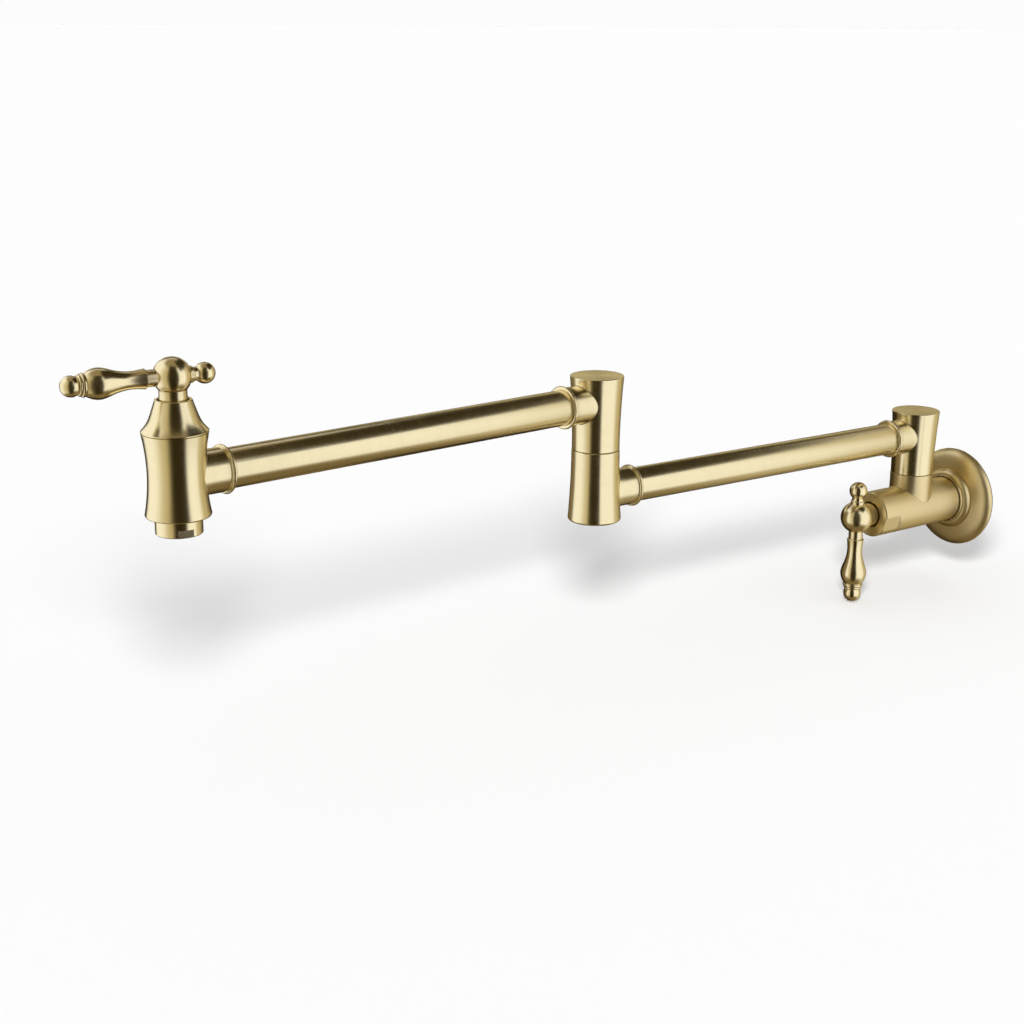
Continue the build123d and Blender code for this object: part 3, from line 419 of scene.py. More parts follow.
def spline(knots, start_slope=None, end_slope=None, steps=CURVE_STEPS):
    """Points after the first on the smooth curve through the knots."""
    points = np.array(knots, float)
    runs = np.linalg.norm(np.diff(points, axis=0), axis=1)
    count = len(points)
    weights = np.zeros((count, count))
    goals = np.zeros((count, 2))
    for i in range(1, count - 1):
        before, after = 1 / runs[i - 1], 1 / runs[i]
        weights[i, i - 1 : i + 2] = before, 2 * (before + after), after
        goals[i] = 3 * (
            (points[i] - points[i - 1]) * before**2 + (points[i + 1] - points[i]) * after**2
        )
    for end, inside, slope in ((0, 1, start_slope), (count - 1, count - 2, end_slope)):
        if slope is None:
            weights[end, end], weights[end, inside] = 2, 1
            goals[end] = 3 * (points[max(end, inside)] - points[min(end, inside)])
            goals[end] /= runs[min(end, inside)]
        else:
            weights[end, end] = 1
            goals[end] = slope
    slopes = np.linalg.solve(weights, goals)
    result = []
    for i, run in enumerate(runs):
        for step in range(1, steps + 1):
            t = step / steps
            result.append(tuple(
                (1 + 2 * t) * (1 - t) ** 2 * points[i]
                + t * (1 - t) ** 2 * run * slopes[i]
                + t * t * (3 - 2 * t) * points[i + 1]
                - t * t * (1 - t) * run * slopes[i + 1]
            ))
    return result


def unit(slope):
    """Slope of length one."""
    return np.array(slope, float) / np.linalg.norm(slope)


def softened(outline, radius, closed=False):
    """Outline with its corners rounded, as rows of radius, height, outer edge, inner edge."""
    points = [Vector(point) for point in outline]
    rows = []
    turns = list(zip(points, points[1:] + points[:1]))
    area = sum(a.x * b.y - b.x * a.y for a, b in turns)
    last = len(points) - 1
    for i, point in enumerate(points):
        if not closed and i in (0, last):
            rows.append((point.x, point.y, 0.0, 0.0))
            continue
        into = point - points[i - 1]
        out = points[(i + 1) % len(points)] - point
        bend = into.angle_signed(out, 0.0)
        if abs(bend) < CORNER_ANGLE:
            rows.append((point.x, point.y, 0.0, 0.0))
            continue
        shorter = min(into.length, out.length)
        reach = min(radius * math.tan(abs(bend) / 2), EDGE_SHARE * shorter)
        first = point - into.normalized() * reach
        final = point + out.normalized() * reach
        # outer corners are marked for the painted highlight, inner corners for the painted shade
        outer = float(-bend * area > 0)
        inner = 1.0 - outer
        if into.length > reach + 4 * EDGE_SUPPORT:
            lead = first - into.normalized() * EDGE_SUPPORT
            rows.append((lead.x, lead.y, EDGE_FADE * outer, EDGE_FADE * inner))
        for step in range(ROUND_STEPS + 1):
            t = step / ROUND_STEPS
            spot = first * (1 - t) ** 2 + point * 2 * t * (1 - t) + final * t * t
            rows.append((spot.x, spot.y, outer, inner))
        if out.length > reach + 4 * EDGE_SUPPORT:
            tail = final + out.normalized() * EDGE_SUPPORT
            rows.append((tail.x, tail.y, EDGE_FADE * outer, EDGE_FADE * inner))
    if closed:
        rows.append(rows[0])
    return rows


# ------------------------------------------------------------------ meshes
def add_object(name, data):
    """Object in the scene."""
    made = bpy.data.objects.new(name, data)
    bpy.context.scene.collection.objects.link(made)
    return made


class Placing:
    """Where a turned piece stands: its origin, its turning axis and its side direction."""

    def __init__(self, origin, axis, side):
        self.origin = np.array(origin, float)
        self.axis = np.array(axis, float)
        self.side = np.array(side, float)
        self.third = np.cross(self.axis, self.side)

    def along(self, vectors):
        """Places of points given as side, third and axis distances in millimetres."""
        return self.origin + MM * (
            vectors[..., 0:1] * self.side
            + vectors[..., 1:2] * self.third
            + vectors[..., 2:3] * self.axis
        )

    def at(self, radius, turn, height):
        """Places of points given as radius, turn and height, in millimetres and radians."""
        parts = np.broadcast_arrays(radius * np.cos(turn), radius * np.sin(turn), height)
        return self.along(np.stack(parts, axis=-1))


class Shell:
    """Patches of faces that are welded into one closed piece."""

    def __init__(self):
        self.places = []
        self.faces = []
        self.wraps = []
        self.marks = []
        self.count = 0

    def patch(self, places, wrap, marks):
        """Add a grid of places with its wrapping and its edge marks."""
        rows, columns = places.shape[:2]
        index = self.count + np.arange(rows * columns).reshape(rows, columns)
        corners = (index[:-1, :-1], index[:-1, 1:], index[1:, 1:], index[1:, :-1])
        self.faces.append(np.stack(corners, axis=-1).reshape(-1, 4))
        self.places.append(places.reshape(-1, 3))
        self.wraps.append(wrap.reshape(-1, 2))
        self.marks.append(marks.reshape(-1, 2))
        self.count += rows * columns

    def lathe(self, rows, placing, turns, form=None):
        """Turn outline rows about an axis, through the given angles."""
        rows = np.array(rows, float)
        turns = np.array(turns, float)
        radius, turn = np.meshgrid(rows[:, 0], turns, indexing="ij")
        height = np.broadcast_to(rows[:, 1:2], radius.shape)
        if form is not None:
            radius = form(radius, turn, height)
        length = np.concatenate(
            ([0.0], np.cumsum(np.linalg.norm(np.diff(rows[:, :2], axis=0), axis=1)))
        )
        wrap = np.stack(
            (turn / TURN, np.broadcast_to(length[:, None] * MM, radius.shape)), axis=-1
        )
        marks = np.broadcast_to(rows[:, None, 2:4], (*radius.shape, 2))
        self.patch(placing.at(radius, turn, height), wrap, marks)

    def finish(self, name):
        """Weld the patches and return the piece."""
        mesh = bpy.data.meshes.new(name)
        faces = np.concatenate(self.faces)
        mesh.from_pydata(np.concatenate(self.places).tolist(), [], faces.tolist())
        wrap = mesh.uv_layers.new(name="turned")
        wrap.data.foreach_set("uv", np.concatenate(self.wraps)[faces.reshape(-1)].ravel())
        for slot_index, label in enumerate(("outer_edge", "inner_edge")):
            layer = mesh.attributes.new(label, "FLOAT", "POINT")
            values = np.ascontiguousarray(np.concatenate(self.marks)[:, slot_index], np.float32)
            layer.data.foreach_set("value", values)
        work = bmesh.new()
        work.from_mesh(mesh)
        bmesh.ops.remove_doubles(work, verts=work.verts, dist=WELD)
        bmesh.ops.dissolve_degenerate(work, edges=work.edges, dist=SLIVER)
        bmesh.ops.recalc_face_normals(work, faces=work.faces)
        work.to_mesh(mesh)
        work.free()
        mesh.shade_smooth()
        mesh.set_sharp_from_angle(angle=SHARP_ANGLE)
        return add_object(name, mesh)


def all_round(segments):
    """Angles of a full turn, with the first repeated at the end."""
    return np.linspace(0, TURN, segments + 1)


def turned(name, outline, placing, closed=False, form=None, turns=None):
    """Piece that is turned from one outline."""
    sizes = bpy.context.scene.filler_sizes
    shell = Shell()
    rows = softened(outline, sizes.edge_round / MM, closed)
    shell.lathe(rows, placing, all_round(sizes.segments) if turns is None else turns, form)
    return shell.finish(name)


def rolled_corner(wall, branch):
    """Ball that rolls in the corner between a wall and its neck, at angles round the neck.

    It has the ball's centres, the turns and heights at which the ball touches the wall, the
    wall's normals there, and the directions away from the neck's axis.
    """
    fillet = branch["fillet"]
    count = 2 * (branch["columns"] + branch["rows"])
    angle = np.arange(count + 1) * TURN / count
    rise = (branch["radius"] + fillet) * np.cos(angle)
    aside = (branch["radius"] + fillet) * np.sin(angle)
    middle_height = branch["height"] + rise
    height = middle_height
    for _ in range(FILLET_PASSES):
        rows_apart = [wall(h + SLOPE_STEP) - wall(h - SLOPE_STEP) for h in height]
        tilt = np.arctan(np.array(rows_apart) / (2 * SLOPE_STEP))
        height = middle_height + fillet * np.sin(tilt)
    ball_radius = np.array([wall(h) for h in height]) + fillet * np.cos(tilt)
    reach = np.sqrt(ball_radius**2 - aside**2)
    turn = np.arctan2(aside, reach)
    return SimpleNamespace(
        angle=angle, turn=turn, height=height,
        ball=np.stack((reach, aside, middle_height), axis=-1),
        normal=np.stack(
            (np.cos(tilt) * np.cos(turn), np.cos(tilt) * np.sin(turn), -np.sin(tilt)), axis=-1
        ),
        ring=np.stack((np.zeros_like(angle), np.sin(angle), np.cos(angle)), axis=-1),
    )


def window_edge(window, branch):
    """Turns and heights round the edge of a neck's window, from the middle of its top."""
    low, high = window
    across, upright, half_turn = branch["columns"], branch["rows"], branch["half_turn"]
    side = np.linspace(0, 1, across // 2 + 1)
    tall = np.linspace(1, -1, upright + 1)
    turns = np.concatenate((
        half_turn * side, np.full(upright, half_turn),
        half_turn * np.linspace(1, -1, across + 1)[1:], np.full(upright, -half_turn),
        half_turn * (side - 1)[1:],
    ))
    span, mid = (high - low) / 2, (high + low) / 2
    heights = np.concatenate((
        np.full(across // 2 + 1, high), mid + span * tall[1:],
        np.full(across, low), mid - span * tall[1:], np.full(across // 2, high),
    ))
    return turns, heights


def patch_window(shell, wall, window, branch, corner, placing, form):
    """Wall from the window's edge to the fillet."""
    edge_turn, edge_height = window_edge(window, branch)
    inwards = np.linspace(0, 1, PATCH_LAYERS + 1)[:, None]
    turn = edge_turn * (1 - inwards) + corner.turn * inwards
    height = edge_height * (1 - inwards) + corner.height * inwards
    radii = np.vectorize(wall)(height)
    if form is not None:
        radii = form(radii, turn, height)
    wrap = np.stack((turn / TURN, height * MM), axis=-1)
    shell.patch(placing.at(radii, turn, height), wrap, np.zeros((*turn.shape, 2)))


def patch_fillet(shell, branch, corner, placing):
    """Hollow fillet between the wall and the neck."""
    fillet = branch["fillet"]
    bow = np.linspace(0, 1, FILLET_STEPS + 1)[:, None]
    opening = np.arccos(np.clip((corner.normal * corner.ring).sum(-1), -1, 1))
    swing = (
        np.sin((1 - bow) * opening)[..., None] * -corner.normal
        + np.sin(bow * opening)[..., None] * -corner.ring
    ) / np.sin(opening)[:, None]
    spots = corner.ball + fillet * swing
    wrap = np.stack(np.broadcast_arrays(corner.angle[None] / TURN, bow * fillet * MM), axis=-1)
    # the middle of the fillet is marked for the most painted shade
    recess_shade = np.broadcast_to(np.sin(np.pi * bow), spots.shape[:2])
    marks = np.stack((np.zeros_like(recess_shade), recess_shade), axis=-1)
    shell.patch(placing.along(spots), wrap, marks)


def patch_neck(shell, branch, corner, placing, edge_round):
    """Neck from the fillet through its outline."""
    outline = np.array(softened(branch["outline"], edge_round))
    neck = []
    for radius, reach in outline[:, :2]:
        place = corner.ring * radius + np.array((0, 0, branch["height"]))
        place[:, 0] = reach
        neck.append(place)
    fillet_end = corner.ball - branch["fillet"] * corner.ring
    steps = np.linspace(0, 1, NECK_LEAD_ROWS + 1)[:-1]
    lead = [fillet_end * (1 - t) + neck[0] * t for t in steps]
    spots = np.stack(lead + neck)
    distance = np.linalg.norm(np.diff(spots, axis=0), axis=-1).mean(-1)
    distance = np.concatenate(([0.0], np.cumsum(distance))) * MM
    wrap = np.stack(np.broadcast_arrays(corner.angle[None] / TURN, distance[:, None]), axis=-1)
    marks = np.concatenate((np.zeros((len(lead), 2)), outline[:, 2:4]))
    shell.patch(placing.along(spots), wrap, np.broadcast_to(marks[:, None], wrap.shape))


def branched(name, before, wall, window, after, placing, branch, form=None, more_turns=()):
    """Turned piece with a round neck that leaves its wall square to the axis.

    The wall gives the radius at a height, the window holds the heights between which the
    neck leaves it, and the branch holds its height, radius, fillet, outline and patch size.
    """
    edge_round = bpy.context.scene.filler_sizes.edge_round / MM
    half_turn = branch["half_turn"]
    heights = np.linspace(*window, branch["rows"] + 1)
    wall_rows = [(wall(height), height) for height in heights]
    rows = softened(before + wall_rows + after, edge_round)
    start = min(i for i, row in enumerate(rows) if np.allclose(row[:2], wall_rows[0]))
    stop = max(i for i, row in enumerate(rows) if np.allclose(row[:2], wall_rows[-1]))

    window_turns = np.linspace(-half_turn, half_turn, branch["columns"] + 1)
    step = 2 * half_turn / branch["columns"]
    rest = np.arange(1, int((TURN - 2 * half_turn) / step)) * step + half_turn
    rest = np.unique(np.concatenate(
        ([half_turn], rest[rest < TURN - half_turn - step / 2], more_turns, [TURN - half_turn])
    ))
    full = np.concatenate((window_turns, rest[1:]))
    shell = Shell()
    shell.lathe(rows[: start + 1], placing, full, form)
    shell.lathe(rows[start : stop + 1], placing, rest, form)
    shell.lathe(rows[stop:], placing, full, form)

    corner = rolled_corner(wall, branch)
    patch_window(shell, wall, window, branch, corner, placing, form)
    patch_fillet(shell, branch, corner, placing)
    patch_neck(shell, branch, corner, placing, edge_round)
    return shell.finish(name)


def drill(piece, placing, radius, start, end):
    """Cut a round hole into a piece, along the axis of a placing."""
    tool_shell = Shell()
    tool_shell.lathe(
        [(0, start, 0, 0), (radius, start, 0, 0), (radius, end, 0, 0), (0, end, 0, 0)],
        placing, all_round(DRILL_SEGMENTS),
    )
    tool = tool_shell.finish("drill")
    cut = piece.modifiers.new("hole", "BOOLEAN")
    cut.operation = "DIFFERENCE"
    cut.solver = "EXACT"
    cut.object = tool
    bake(piece)
    bpy.data.objects.remove(tool)
    piece.data.set_sharp_from_angle(angle=SHARP_ANGLE)


def bake(piece):
    """Turn a piece's modifiers into plain mesh."""
    depsgraph = bpy.context.evaluated_depsgraph_get()
    depsgraph.update()
    mesh = bpy.data.meshes.new_from_object(piece.evaluated_get(depsgraph))
    mesh.name = piece.name
    piece.modifiers.clear()
    piece.data = mesh


def dress(piece, body, finish, node):
    """Give a piece its body, its finish and the CAD node that it stands for."""
    piece.data.materials.clear()
    piece.data.materials.append(finishes[finish])
    for polygon in piece.data.polygons:
        polygon.material_index = 0
    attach(piece, body)
    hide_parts(node)


# ------------------------------------------------------------------ node trees
FLOAT = "NodeSocketFloat"
WHOLE = "NodeSocketInt"
VECTOR = "NodeSocketVector"
COLOUR = "NodeSocketColor"
GEOMETRY = "NodeSocketGeometry"
MATERIAL = "NodeSocketMaterial"


class Tree:
    """Short way to build a node tree: nodes, their settings and their links."""

    def __init__(self, tree):
        self.tree = tree
        self.nodes = tree.nodes

    def node(self, kind, *values, **named):
        """Node with its first inputs in order and others by name.

        A name that starts with a capital is an input's, and the rest are settings.
        """
        made = self.nodes.new(kind)
        for name, value in named.items():
            if name[0].islower():
                setattr(made, name, value)
        for socket, value in enumerate(values):
            self.put(made, socket, value)
        for name, value in named.items():
            if name[0].isupper():
                self.put(made, name.replace("_", " "), value)
        return made

    def put(self, made, socket, value):
        """Link or set one input, by its number or name."""
        if isinstance(value, bpy.types.Node):
            value = next(out for out in value.outputs if out.enabled)
        if isinstance(value, bpy.types.NodeSocket):
            self.tree.links.new(value, made.inputs[socket])
        else:
            made.inputs[socket].default_value = value

    def maths(self, operation, *values, **named):
        """Sum of numbers."""
        return self.node("ShaderNodeMath", *values, operation=operation, **named)

    def times(self, one, other):
        """Product of two numbers."""
        return self.maths("MULTIPLY", one, other)

    def vectors(self, operation, *values, **named):
        """Sum of vectors."""
        return self.node("ShaderNodeVectorMath", *values, operation=operation, **named)

    def noise(self, place, scale, detail, **named):
        """Noise at a place."""
        return self.node("ShaderNodeTexNoise", Vector=place, Scale=scale, Detail=detail, **named)

    def apart(self, vector):
        """Outputs with the three parts of a vector."""
        return self.node("ShaderNodeSeparateXYZ", vector).outputs


def new_group(name, kind, inputs, outputs):
    """Node group with its sockets, and what it is given."""
    group = bpy.data.node_groups.new(name, kind)
    for label, socket, default in inputs:
        made = group.interface.new_socket(label, in_out="INPUT", socket_type=socket)
        if default is not None:
            made.default_value = default
    for label, socket in outputs:
        group.interface.new_socket(label, in_out="OUTPUT", socket_type=socket)
    tree = Tree(group)
    return tree, tree.node("NodeGroupInput").outputs


# ------------------------------------------------------------------ shader groups
PATCH_STRETCH = (1.2, 1.2, 0.06)    # how the slow patches of brushing lie in the grain's space
PATCH_DEPTH = 0.6


def brushed_grain_group():
    """Fine lines round a turned piece, with slow patches of deeper and finer brushing."""
    tree, given = new_group(
        "Brushed grain", "ShaderNodeTree",
        (("Density", FLOAT, 1400.0), ("Streak", FLOAT, 2.5)),
        (("Lines", FLOAT), ("Patches", FLOAT), ("Height", FLOAT)),
    )
    wrap = tree.apart(tree.node("ShaderNodeUVMap", uv_map="turned"))
    angle = tree.times(wrap[0], TURN)
    cosine, sine = (
        tree.times(tree.maths(function, angle), given["Streak"])
        for function in ("COSINE", "SINE")
    )
    across = tree.times(wrap[1], given["Density"])
    place = tree.node("ShaderNodeCombineXYZ", cosine, sine, across)
    fine = tree.noise(place, 1.0, 3.0, Roughness=0.6)
    slow = tree.noise(tree.vectors("MULTIPLY", place, PATCH_STRETCH), 1.0, 2.0)
    height = tree.maths("ADD", fine, tree.times(slow, PATCH_DEPTH))
    tree.node("NodeGroupOutput", Lines=fine, Patches=slow, Height=height)
    return tree.tree


def edge_wear_and_light_group():
    """Where outer edges get a painted highlight and less roughness from wear, and inner corners get painted shade
    and more roughness.
    """
    tree, given = new_group(
        "Edge wear", "ShaderNodeTree",
        (("Scale", FLOAT, 700.0), ("Unevenness", FLOAT, 0.6)),
        (("Rubbed", FLOAT), ("Recessed", FLOAT)),
    )
    noise = tree.noise(tree.node("ShaderNodeTexCoord").outputs["Object"], given["Scale"], 3.0)
    kept = tree.maths("SUBTRACT", 1.0, tree.times(noise, given["Unevenness"]))
    edges = (
        tree.node("ShaderNodeAttribute", attribute_name=edge).outputs["Fac"]
        for edge in ("outer_edge", "inner_edge")
    )
    rubbed_sheen, recess_shade = (
        tree.maths("MULTIPLY", edge, kept, use_clamp=True) for edge in edges
    )
    tree.node("NodeGroupOutput", Rubbed=rubbed_sheen, Recessed=recess_shade)
    return tree.tree


def mottle_group():
    """Soft cloud over a colour, and fine tooth, for cast, moulded and coated surfaces."""
    tree, given = new_group(
        "Mottle", "ShaderNodeTree",
        (("Base", COLOUR, (1, 1, 1, 1)), ("Drift", FLOAT, 0.06), ("Scale", FLOAT, 30.0),
         ("Tooth", FLOAT, 2500.0)),
        (("Color", COLOUR), ("Cloud", FLOAT), ("Tooth", FLOAT)),
    )
    place = tree.node("ShaderNodeTexCoord").outputs["Object"]
    cloud = tree.noise(place, given["Scale"], 3.0)
    tooth = tree.noise(place, given["Tooth"], 2.0)
    centred = tree.maths("SUBTRACT", cloud, 0.5)
    lightness = tree.maths("MULTIPLY_ADD", centred, given["Drift"], 1.0)
    tinted = tree.vectors("SCALE", given["Base"], Scale=lightness)
    tree.node("NodeGroupOutput", Color=tinted, Cloud=cloud, Tooth=tooth)
    return tree.tree


# ------------------------------------------------------------------ materials
BRUSHED_TONE = 0.96                 # the brush lines against the plain gold
RUBBED_SHEEN_TONE = 1.08                  # painted highlight of the worn outer edges against the plain gold
# shares of the painted edge highlight and of the painted corner shade that are mixed in
RUBBED_SHEEN_COVER = 0.5
RECESS_SHADE_COVER = 0.75
PATCH_ROUGHNESS = 0.10
LINE_ROUGHNESS = 0.08
RUBBED_ROUGHNESS = -0.06
RECESS_ROUGHNESS = 0.15
CLOUD_ROUGHNESS = 0.12
BRUSH_BUMP = 0.004
BUMP_DISTANCE = 0.05 * MM

finishes = {}


def new_material(name, **constants):
    """Material with its Principled shader, whose constants are set on its own sockets."""
    material = bpy.data.materials.new(name)
    material.use_nodes = True
    tree = Tree(material.node_tree)
    shader = tree.nodes["Principled BSDF"]
    for socket, value in constants.items():
        tree.put(shader, socket.replace("_", " "), value)
    return material, tree, shader


def place_group(tree, group, **values):
    """Group node with its inputs set."""
    return tree.node("ShaderNodeGroup", node_tree=group, **values)


def mix_colour(tree, factor, one, other):
    """Colour between two others."""
    mixed = tree.node("ShaderNodeMix", data_type="RGBA")
    for socket, value in ((0, factor), (6, one), (7, other)):
        tree.put(mixed, socket, value)
    return mixed.outputs[2]


def bumped(tree, shader, strength, height):
    """Give a shader its bump."""
    tree.put(shader, "Normal", tree.node(
        "ShaderNodeBump", Strength=strength, Distance=BUMP_DISTANCE, Height=height
    ))


def gold_material(name, groups, colour, roughness, brushing, anisotropy):
    """Brushed metal: lines round the turned form, worn edges with a painted highlight, and painted shade in
    rougher corners.
    """
    finish = bpy.context.scene.filler_finish
    material, tree, shader = new_material(
        name, Metallic=1.0, Anisotropic=anisotropy, Anisotropic_Rotation=0.25
    )
    mottle = place_group(
        tree, groups["mottle"], Base=(*colour, 1.0), Drift=0.05, Scale=22.0, Tooth=1600.0
    ).outputs
    grain = place_group(tree, groups["grain"], Density=finish.grain, Streak=0.7).outputs
    wear_and_light = place_group(tree, groups["wear_and_light"], Scale=600.0, Unevenness=0.5).outputs

    tinted = mottle["Color"]
    # the brush lines are the gold's own tone, the worn outer edges get a painted highlight and the inner corners
    # painted shade
    for mask, cover, other in (
        (grain["Lines"], brushing, [channel * BRUSHED_TONE for channel in colour]),
        (wear_and_light["Rubbed"], RUBBED_SHEEN_COVER, [min(1.0, channel * RUBBED_SHEEN_TONE) for channel in colour]),
        (wear_and_light["Recessed"], RECESS_SHADE_COVER, finish.recess),
    ):
        tinted = mix_colour(tree, tree.times(mask, cover), tinted, (*other, 1.0))
    tree.put(shader, "Base Color", tinted)

    rough = roughness - PATCH_ROUGHNESS / 2
    for mask, amount in (
        (grain["Patches"], PATCH_ROUGHNESS), (grain["Lines"], LINE_ROUGHNESS * brushing),
        (wear_and_light["Rubbed"], RUBBED_ROUGHNESS), (wear_and_light["Recessed"], RECESS_ROUGHNESS),
    ):
        rough = tree.maths("MULTIPLY_ADD", mask, amount, rough)
    tree.put(shader, "Roughness", rough)

    bumped(tree, shader, BRUSH_BUMP * brushing, grain["Height"])
    tangent = tree.node("ShaderNodeTangent", direction_type="UV_MAP", uv_map="turned")
    tree.put(shader, "Tangent", tangent)
    return material


def plain_material(name, groups, colour, roughness, metallic=0.0, drift=0.08, tooth=2500.0,
                   depth=0.15):
    """Moulded, ground or machined surface with its own colour drift and tooth."""
    material, tree, shader = new_material(name, Metallic=metallic)
    mottle = place_group(
        tree, groups["mottle"], Base=(*colour, 1.0), Drift=drift, Scale=60.0, Tooth=tooth
    ).outputs
    tree.put(shader, "Base Color", mottle["Color"])
    rough = tree.maths(
        "MULTIPLY_ADD", mottle["Cloud"], CLOUD_ROUGHNESS, roughness - CLOUD_ROUGHNESS / 2
    )
    tree.put(shader, "Roughness", rough)
    bumped(tree, shader, depth, mottle["Tooth"])
    return material


def make_finishes():
    """Make all finishes, by the names that the pieces use."""
    finish = bpy.context.scene.filler_finish
    groups = {
        "grain": brushed_grain_group(),
        "wear_and_light": edge_wear_and_light_group(),
        "mottle": mottle_group(),
    }
    for name, colour, roughness, brushing, anisotropy in (
        ("brushed_gold", finish.gold, finish.gold_roughness, 1.0, 0.55),
        ("satin_gold", finish.satin_gold, finish.satin_roughness, 1.0, 0.35),
        ("polished_gold", finish.handle_gold, finish.handle_roughness, 0.6, 0.4),
    ):
        finishes[name] = gold_material(
            name, groups, tuple(colour), roughness, brushing, anisotropy
        )
    for name, colour, roughness, settings in (
        ("plain_brass", finish.raw_brass, 0.30, {"metallic": 1.0, "drift": 0.12}),
        ("black_rubber", (0.022, 0.022, 0.024), 0.62, {"drift": 0.3, "depth": 0.35}),
        ("white_ceramic", (0.86, 0.85, 0.82), 0.16, {"drift": 0.05, "depth": 0.04}),
        ("stainless_steel", (0.62, 0.61, 0.59), 0.28, {"metallic": 1.0, "tooth": 4000.0}),
        ("nylon", (0.78, 0.77, 0.72), 0.48, {"drift": 0.06, "depth": 0.1}),
    ):
        finishes[name] = plain_material(name, groups, colour, roughness, **settings)


# ------------------------------------------------------------------ geometry trees
def geometry_tree(name, *inputs):
    """Geometry Nodes group with its sizes and its finish as inputs."""
    return new_group(
        name, "GeometryNodeTree", (*inputs, ("Finish", MATERIAL, None)),
        (("Geometry", GEOMETRY),),
    )


def end_tree(tree, given, geometry):
    """Realize the instances, set the material and give the geometry out."""
    real = tree.node("GeometryNodeRealizeInstances", geometry)
    finished = tree.node("GeometryNodeSetMaterial", Geometry=real, Material=given["Finish"])
    tree.node("NodeGroupOutput", finished)
    return tree.tree


def stored(tree, geometry, name, value, data_type="FLOAT", domain="POINT"):
    """Geometry that keeps a value as a named attribute."""
    return tree.node(
        "GeometryNodeStoreNamedAttribute", data_type=data_type, domain=domain,
        Geometry=geometry, Name=name, Value=value,
    )


def tube_tree():
    """Thin tube between two places, with its square ends eased."""
    tree, given = geometry_tree(
        "Arm tube", ("Start", VECTOR, None), ("End", VECTOR, None),
        ("Radius", FLOAT, TUBE_RADIUS * MM), ("Wall", FLOAT, TUBE_WALL * MM),
        ("Edge", FLOAT, TUBE_EDGE * MM), ("Segments", WHOLE, 144),
    )
    run = tree.vectors("SUBTRACT", given["End"], given["Start"])
    section = tree.node(
        "GeometryNodeCurvePrimitiveQuadrilateral", given["Wall"],
        tree.vectors("LENGTH", run).outputs["Value"],
    )
    eased = tree.node(
        "GeometryNodeFilletCurve", mode="POLY", Curve=section, Radius=given["Edge"],
        Count=ROUND_STEPS, Limit_Radius=True,
    )
    half_wall = tree.times(given["Wall"], 0.5)
    rail = tree.node(
        "GeometryNodeCurveArc", Resolution=tree.maths("ADD", given["Segments"], 1.0),
        Radius=tree.maths("SUBTRACT", given["Radius"], half_wall), Sweep_Angle=TURN,
    )
    share_round = tree.node("GeometryNodeSplineParameter").outputs["Factor"]
    place_along = tree.apart(tree.node("GeometryNodeInputPosition"))[1]
    swept = tree.node(
        "GeometryNodeCurveToMesh", stored(tree, rail, "around", share_round),
        stored(tree, eased, "along", place_along),
    )
    wrap = tree.node("ShaderNodeCombineXYZ", *(
        tree.node("GeometryNodeInputNamedAttribute", data_type="FLOAT", Name=name)
        for name in ("around", "along")
    ))
    wrapped = stored(tree, swept, "turned", wrap, "FLOAT2", "CORNER")
    welded = tree.node("GeometryNodeMergeByDistance", Geometry=wrapped, Distance=TUBE_WELD)
    both_ends = tree.vectors("ADD", given["Start"], given["End"])
    placed = tree.node(
        "GeometryNodeTransform", Geometry=welded,
        Translation=tree.vectors("SCALE", both_ends, Scale=0.5),
        Rotation=tree.node("FunctionNodeAlignRotationToVector", axis="Z", Vector=run),
    )
    return end_tree(tree, given, placed)


def perforated_tree():
    """Round plate with holes in a honeycomb pattern."""
    tree, given = geometry_tree(
        "Perforated plate", ("Radius", FLOAT, 9 * MM), ("Thickness", FLOAT, 2 * MM),
        ("Hole", FLOAT, 0.9 * MM), ("Pitch", FLOAT, 2.3 * MM), ("Margin", FLOAT, 0.6 * MM),
        ("Sides", WHOLE, 6),
    )
    radius, pitch, hole_radius = given["Radius"], given["Pitch"], given["Hole"]
    row_pitch = math.sin(math.radians(60))
    plate = tree.node(
        "GeometryNodeMeshCylinder", Vertices=PLATE_SIDES, Radius=radius, Depth=given["Thickness"]
    )
    grid = tree.node(
        "GeometryNodeMeshGrid", Vertices_X=HOLE_ROWS, Vertices_Y=HOLE_ROWS,
        Size_X=tree.times(pitch, HOLE_ROWS - 1.0),
        Size_Y=tree.times(pitch, (HOLE_ROWS - 1) * row_pitch),
    )
    place = tree.node("GeometryNodeInputPosition")
    row = tree.maths("DIVIDE", tree.apart(place)[1], tree.times(pitch, row_pitch))
    odd = tree.maths("ABSOLUTE", tree.maths("MODULO", tree.maths("ROUND", row), 2.0))
    shift = tree.times(tree.times(odd, 0.5), pitch)
    staggered = tree.node(
        "GeometryNodeSetPosition", Geometry=grid,
        Offset=tree.node("ShaderNodeCombineXYZ", shift, 0.0, 0.0),
    )
    spread = tree.vectors("LENGTH", place).outputs["Value"]
    margin = tree.maths("ADD", hole_radius, given["Margin"])
    hole = tree.node(
        "GeometryNodeMeshCylinder", Vertices=given["Sides"], Radius=hole_radius,
        Depth=tree.times(given["Thickness"], 2.0),
    )
    holes = tree.node(
        "GeometryNodeInstanceOnPoints", Points=staggered, Instance=hole,
        Selection=tree.maths("LESS_THAN", spread, tree.maths("SUBTRACT", radius, margin)),
        Rotation=(0.0, 0.0, math.radians(30)),
    )
    cut = tree.node("GeometryNodeMeshBoolean", operation="DIFFERENCE")
    tree.put(cut, 0, plate)
    tree.put(cut, 1, tree.node("GeometryNodeRealizeInstances", holes))
    return end_tree(tree, given, cut)


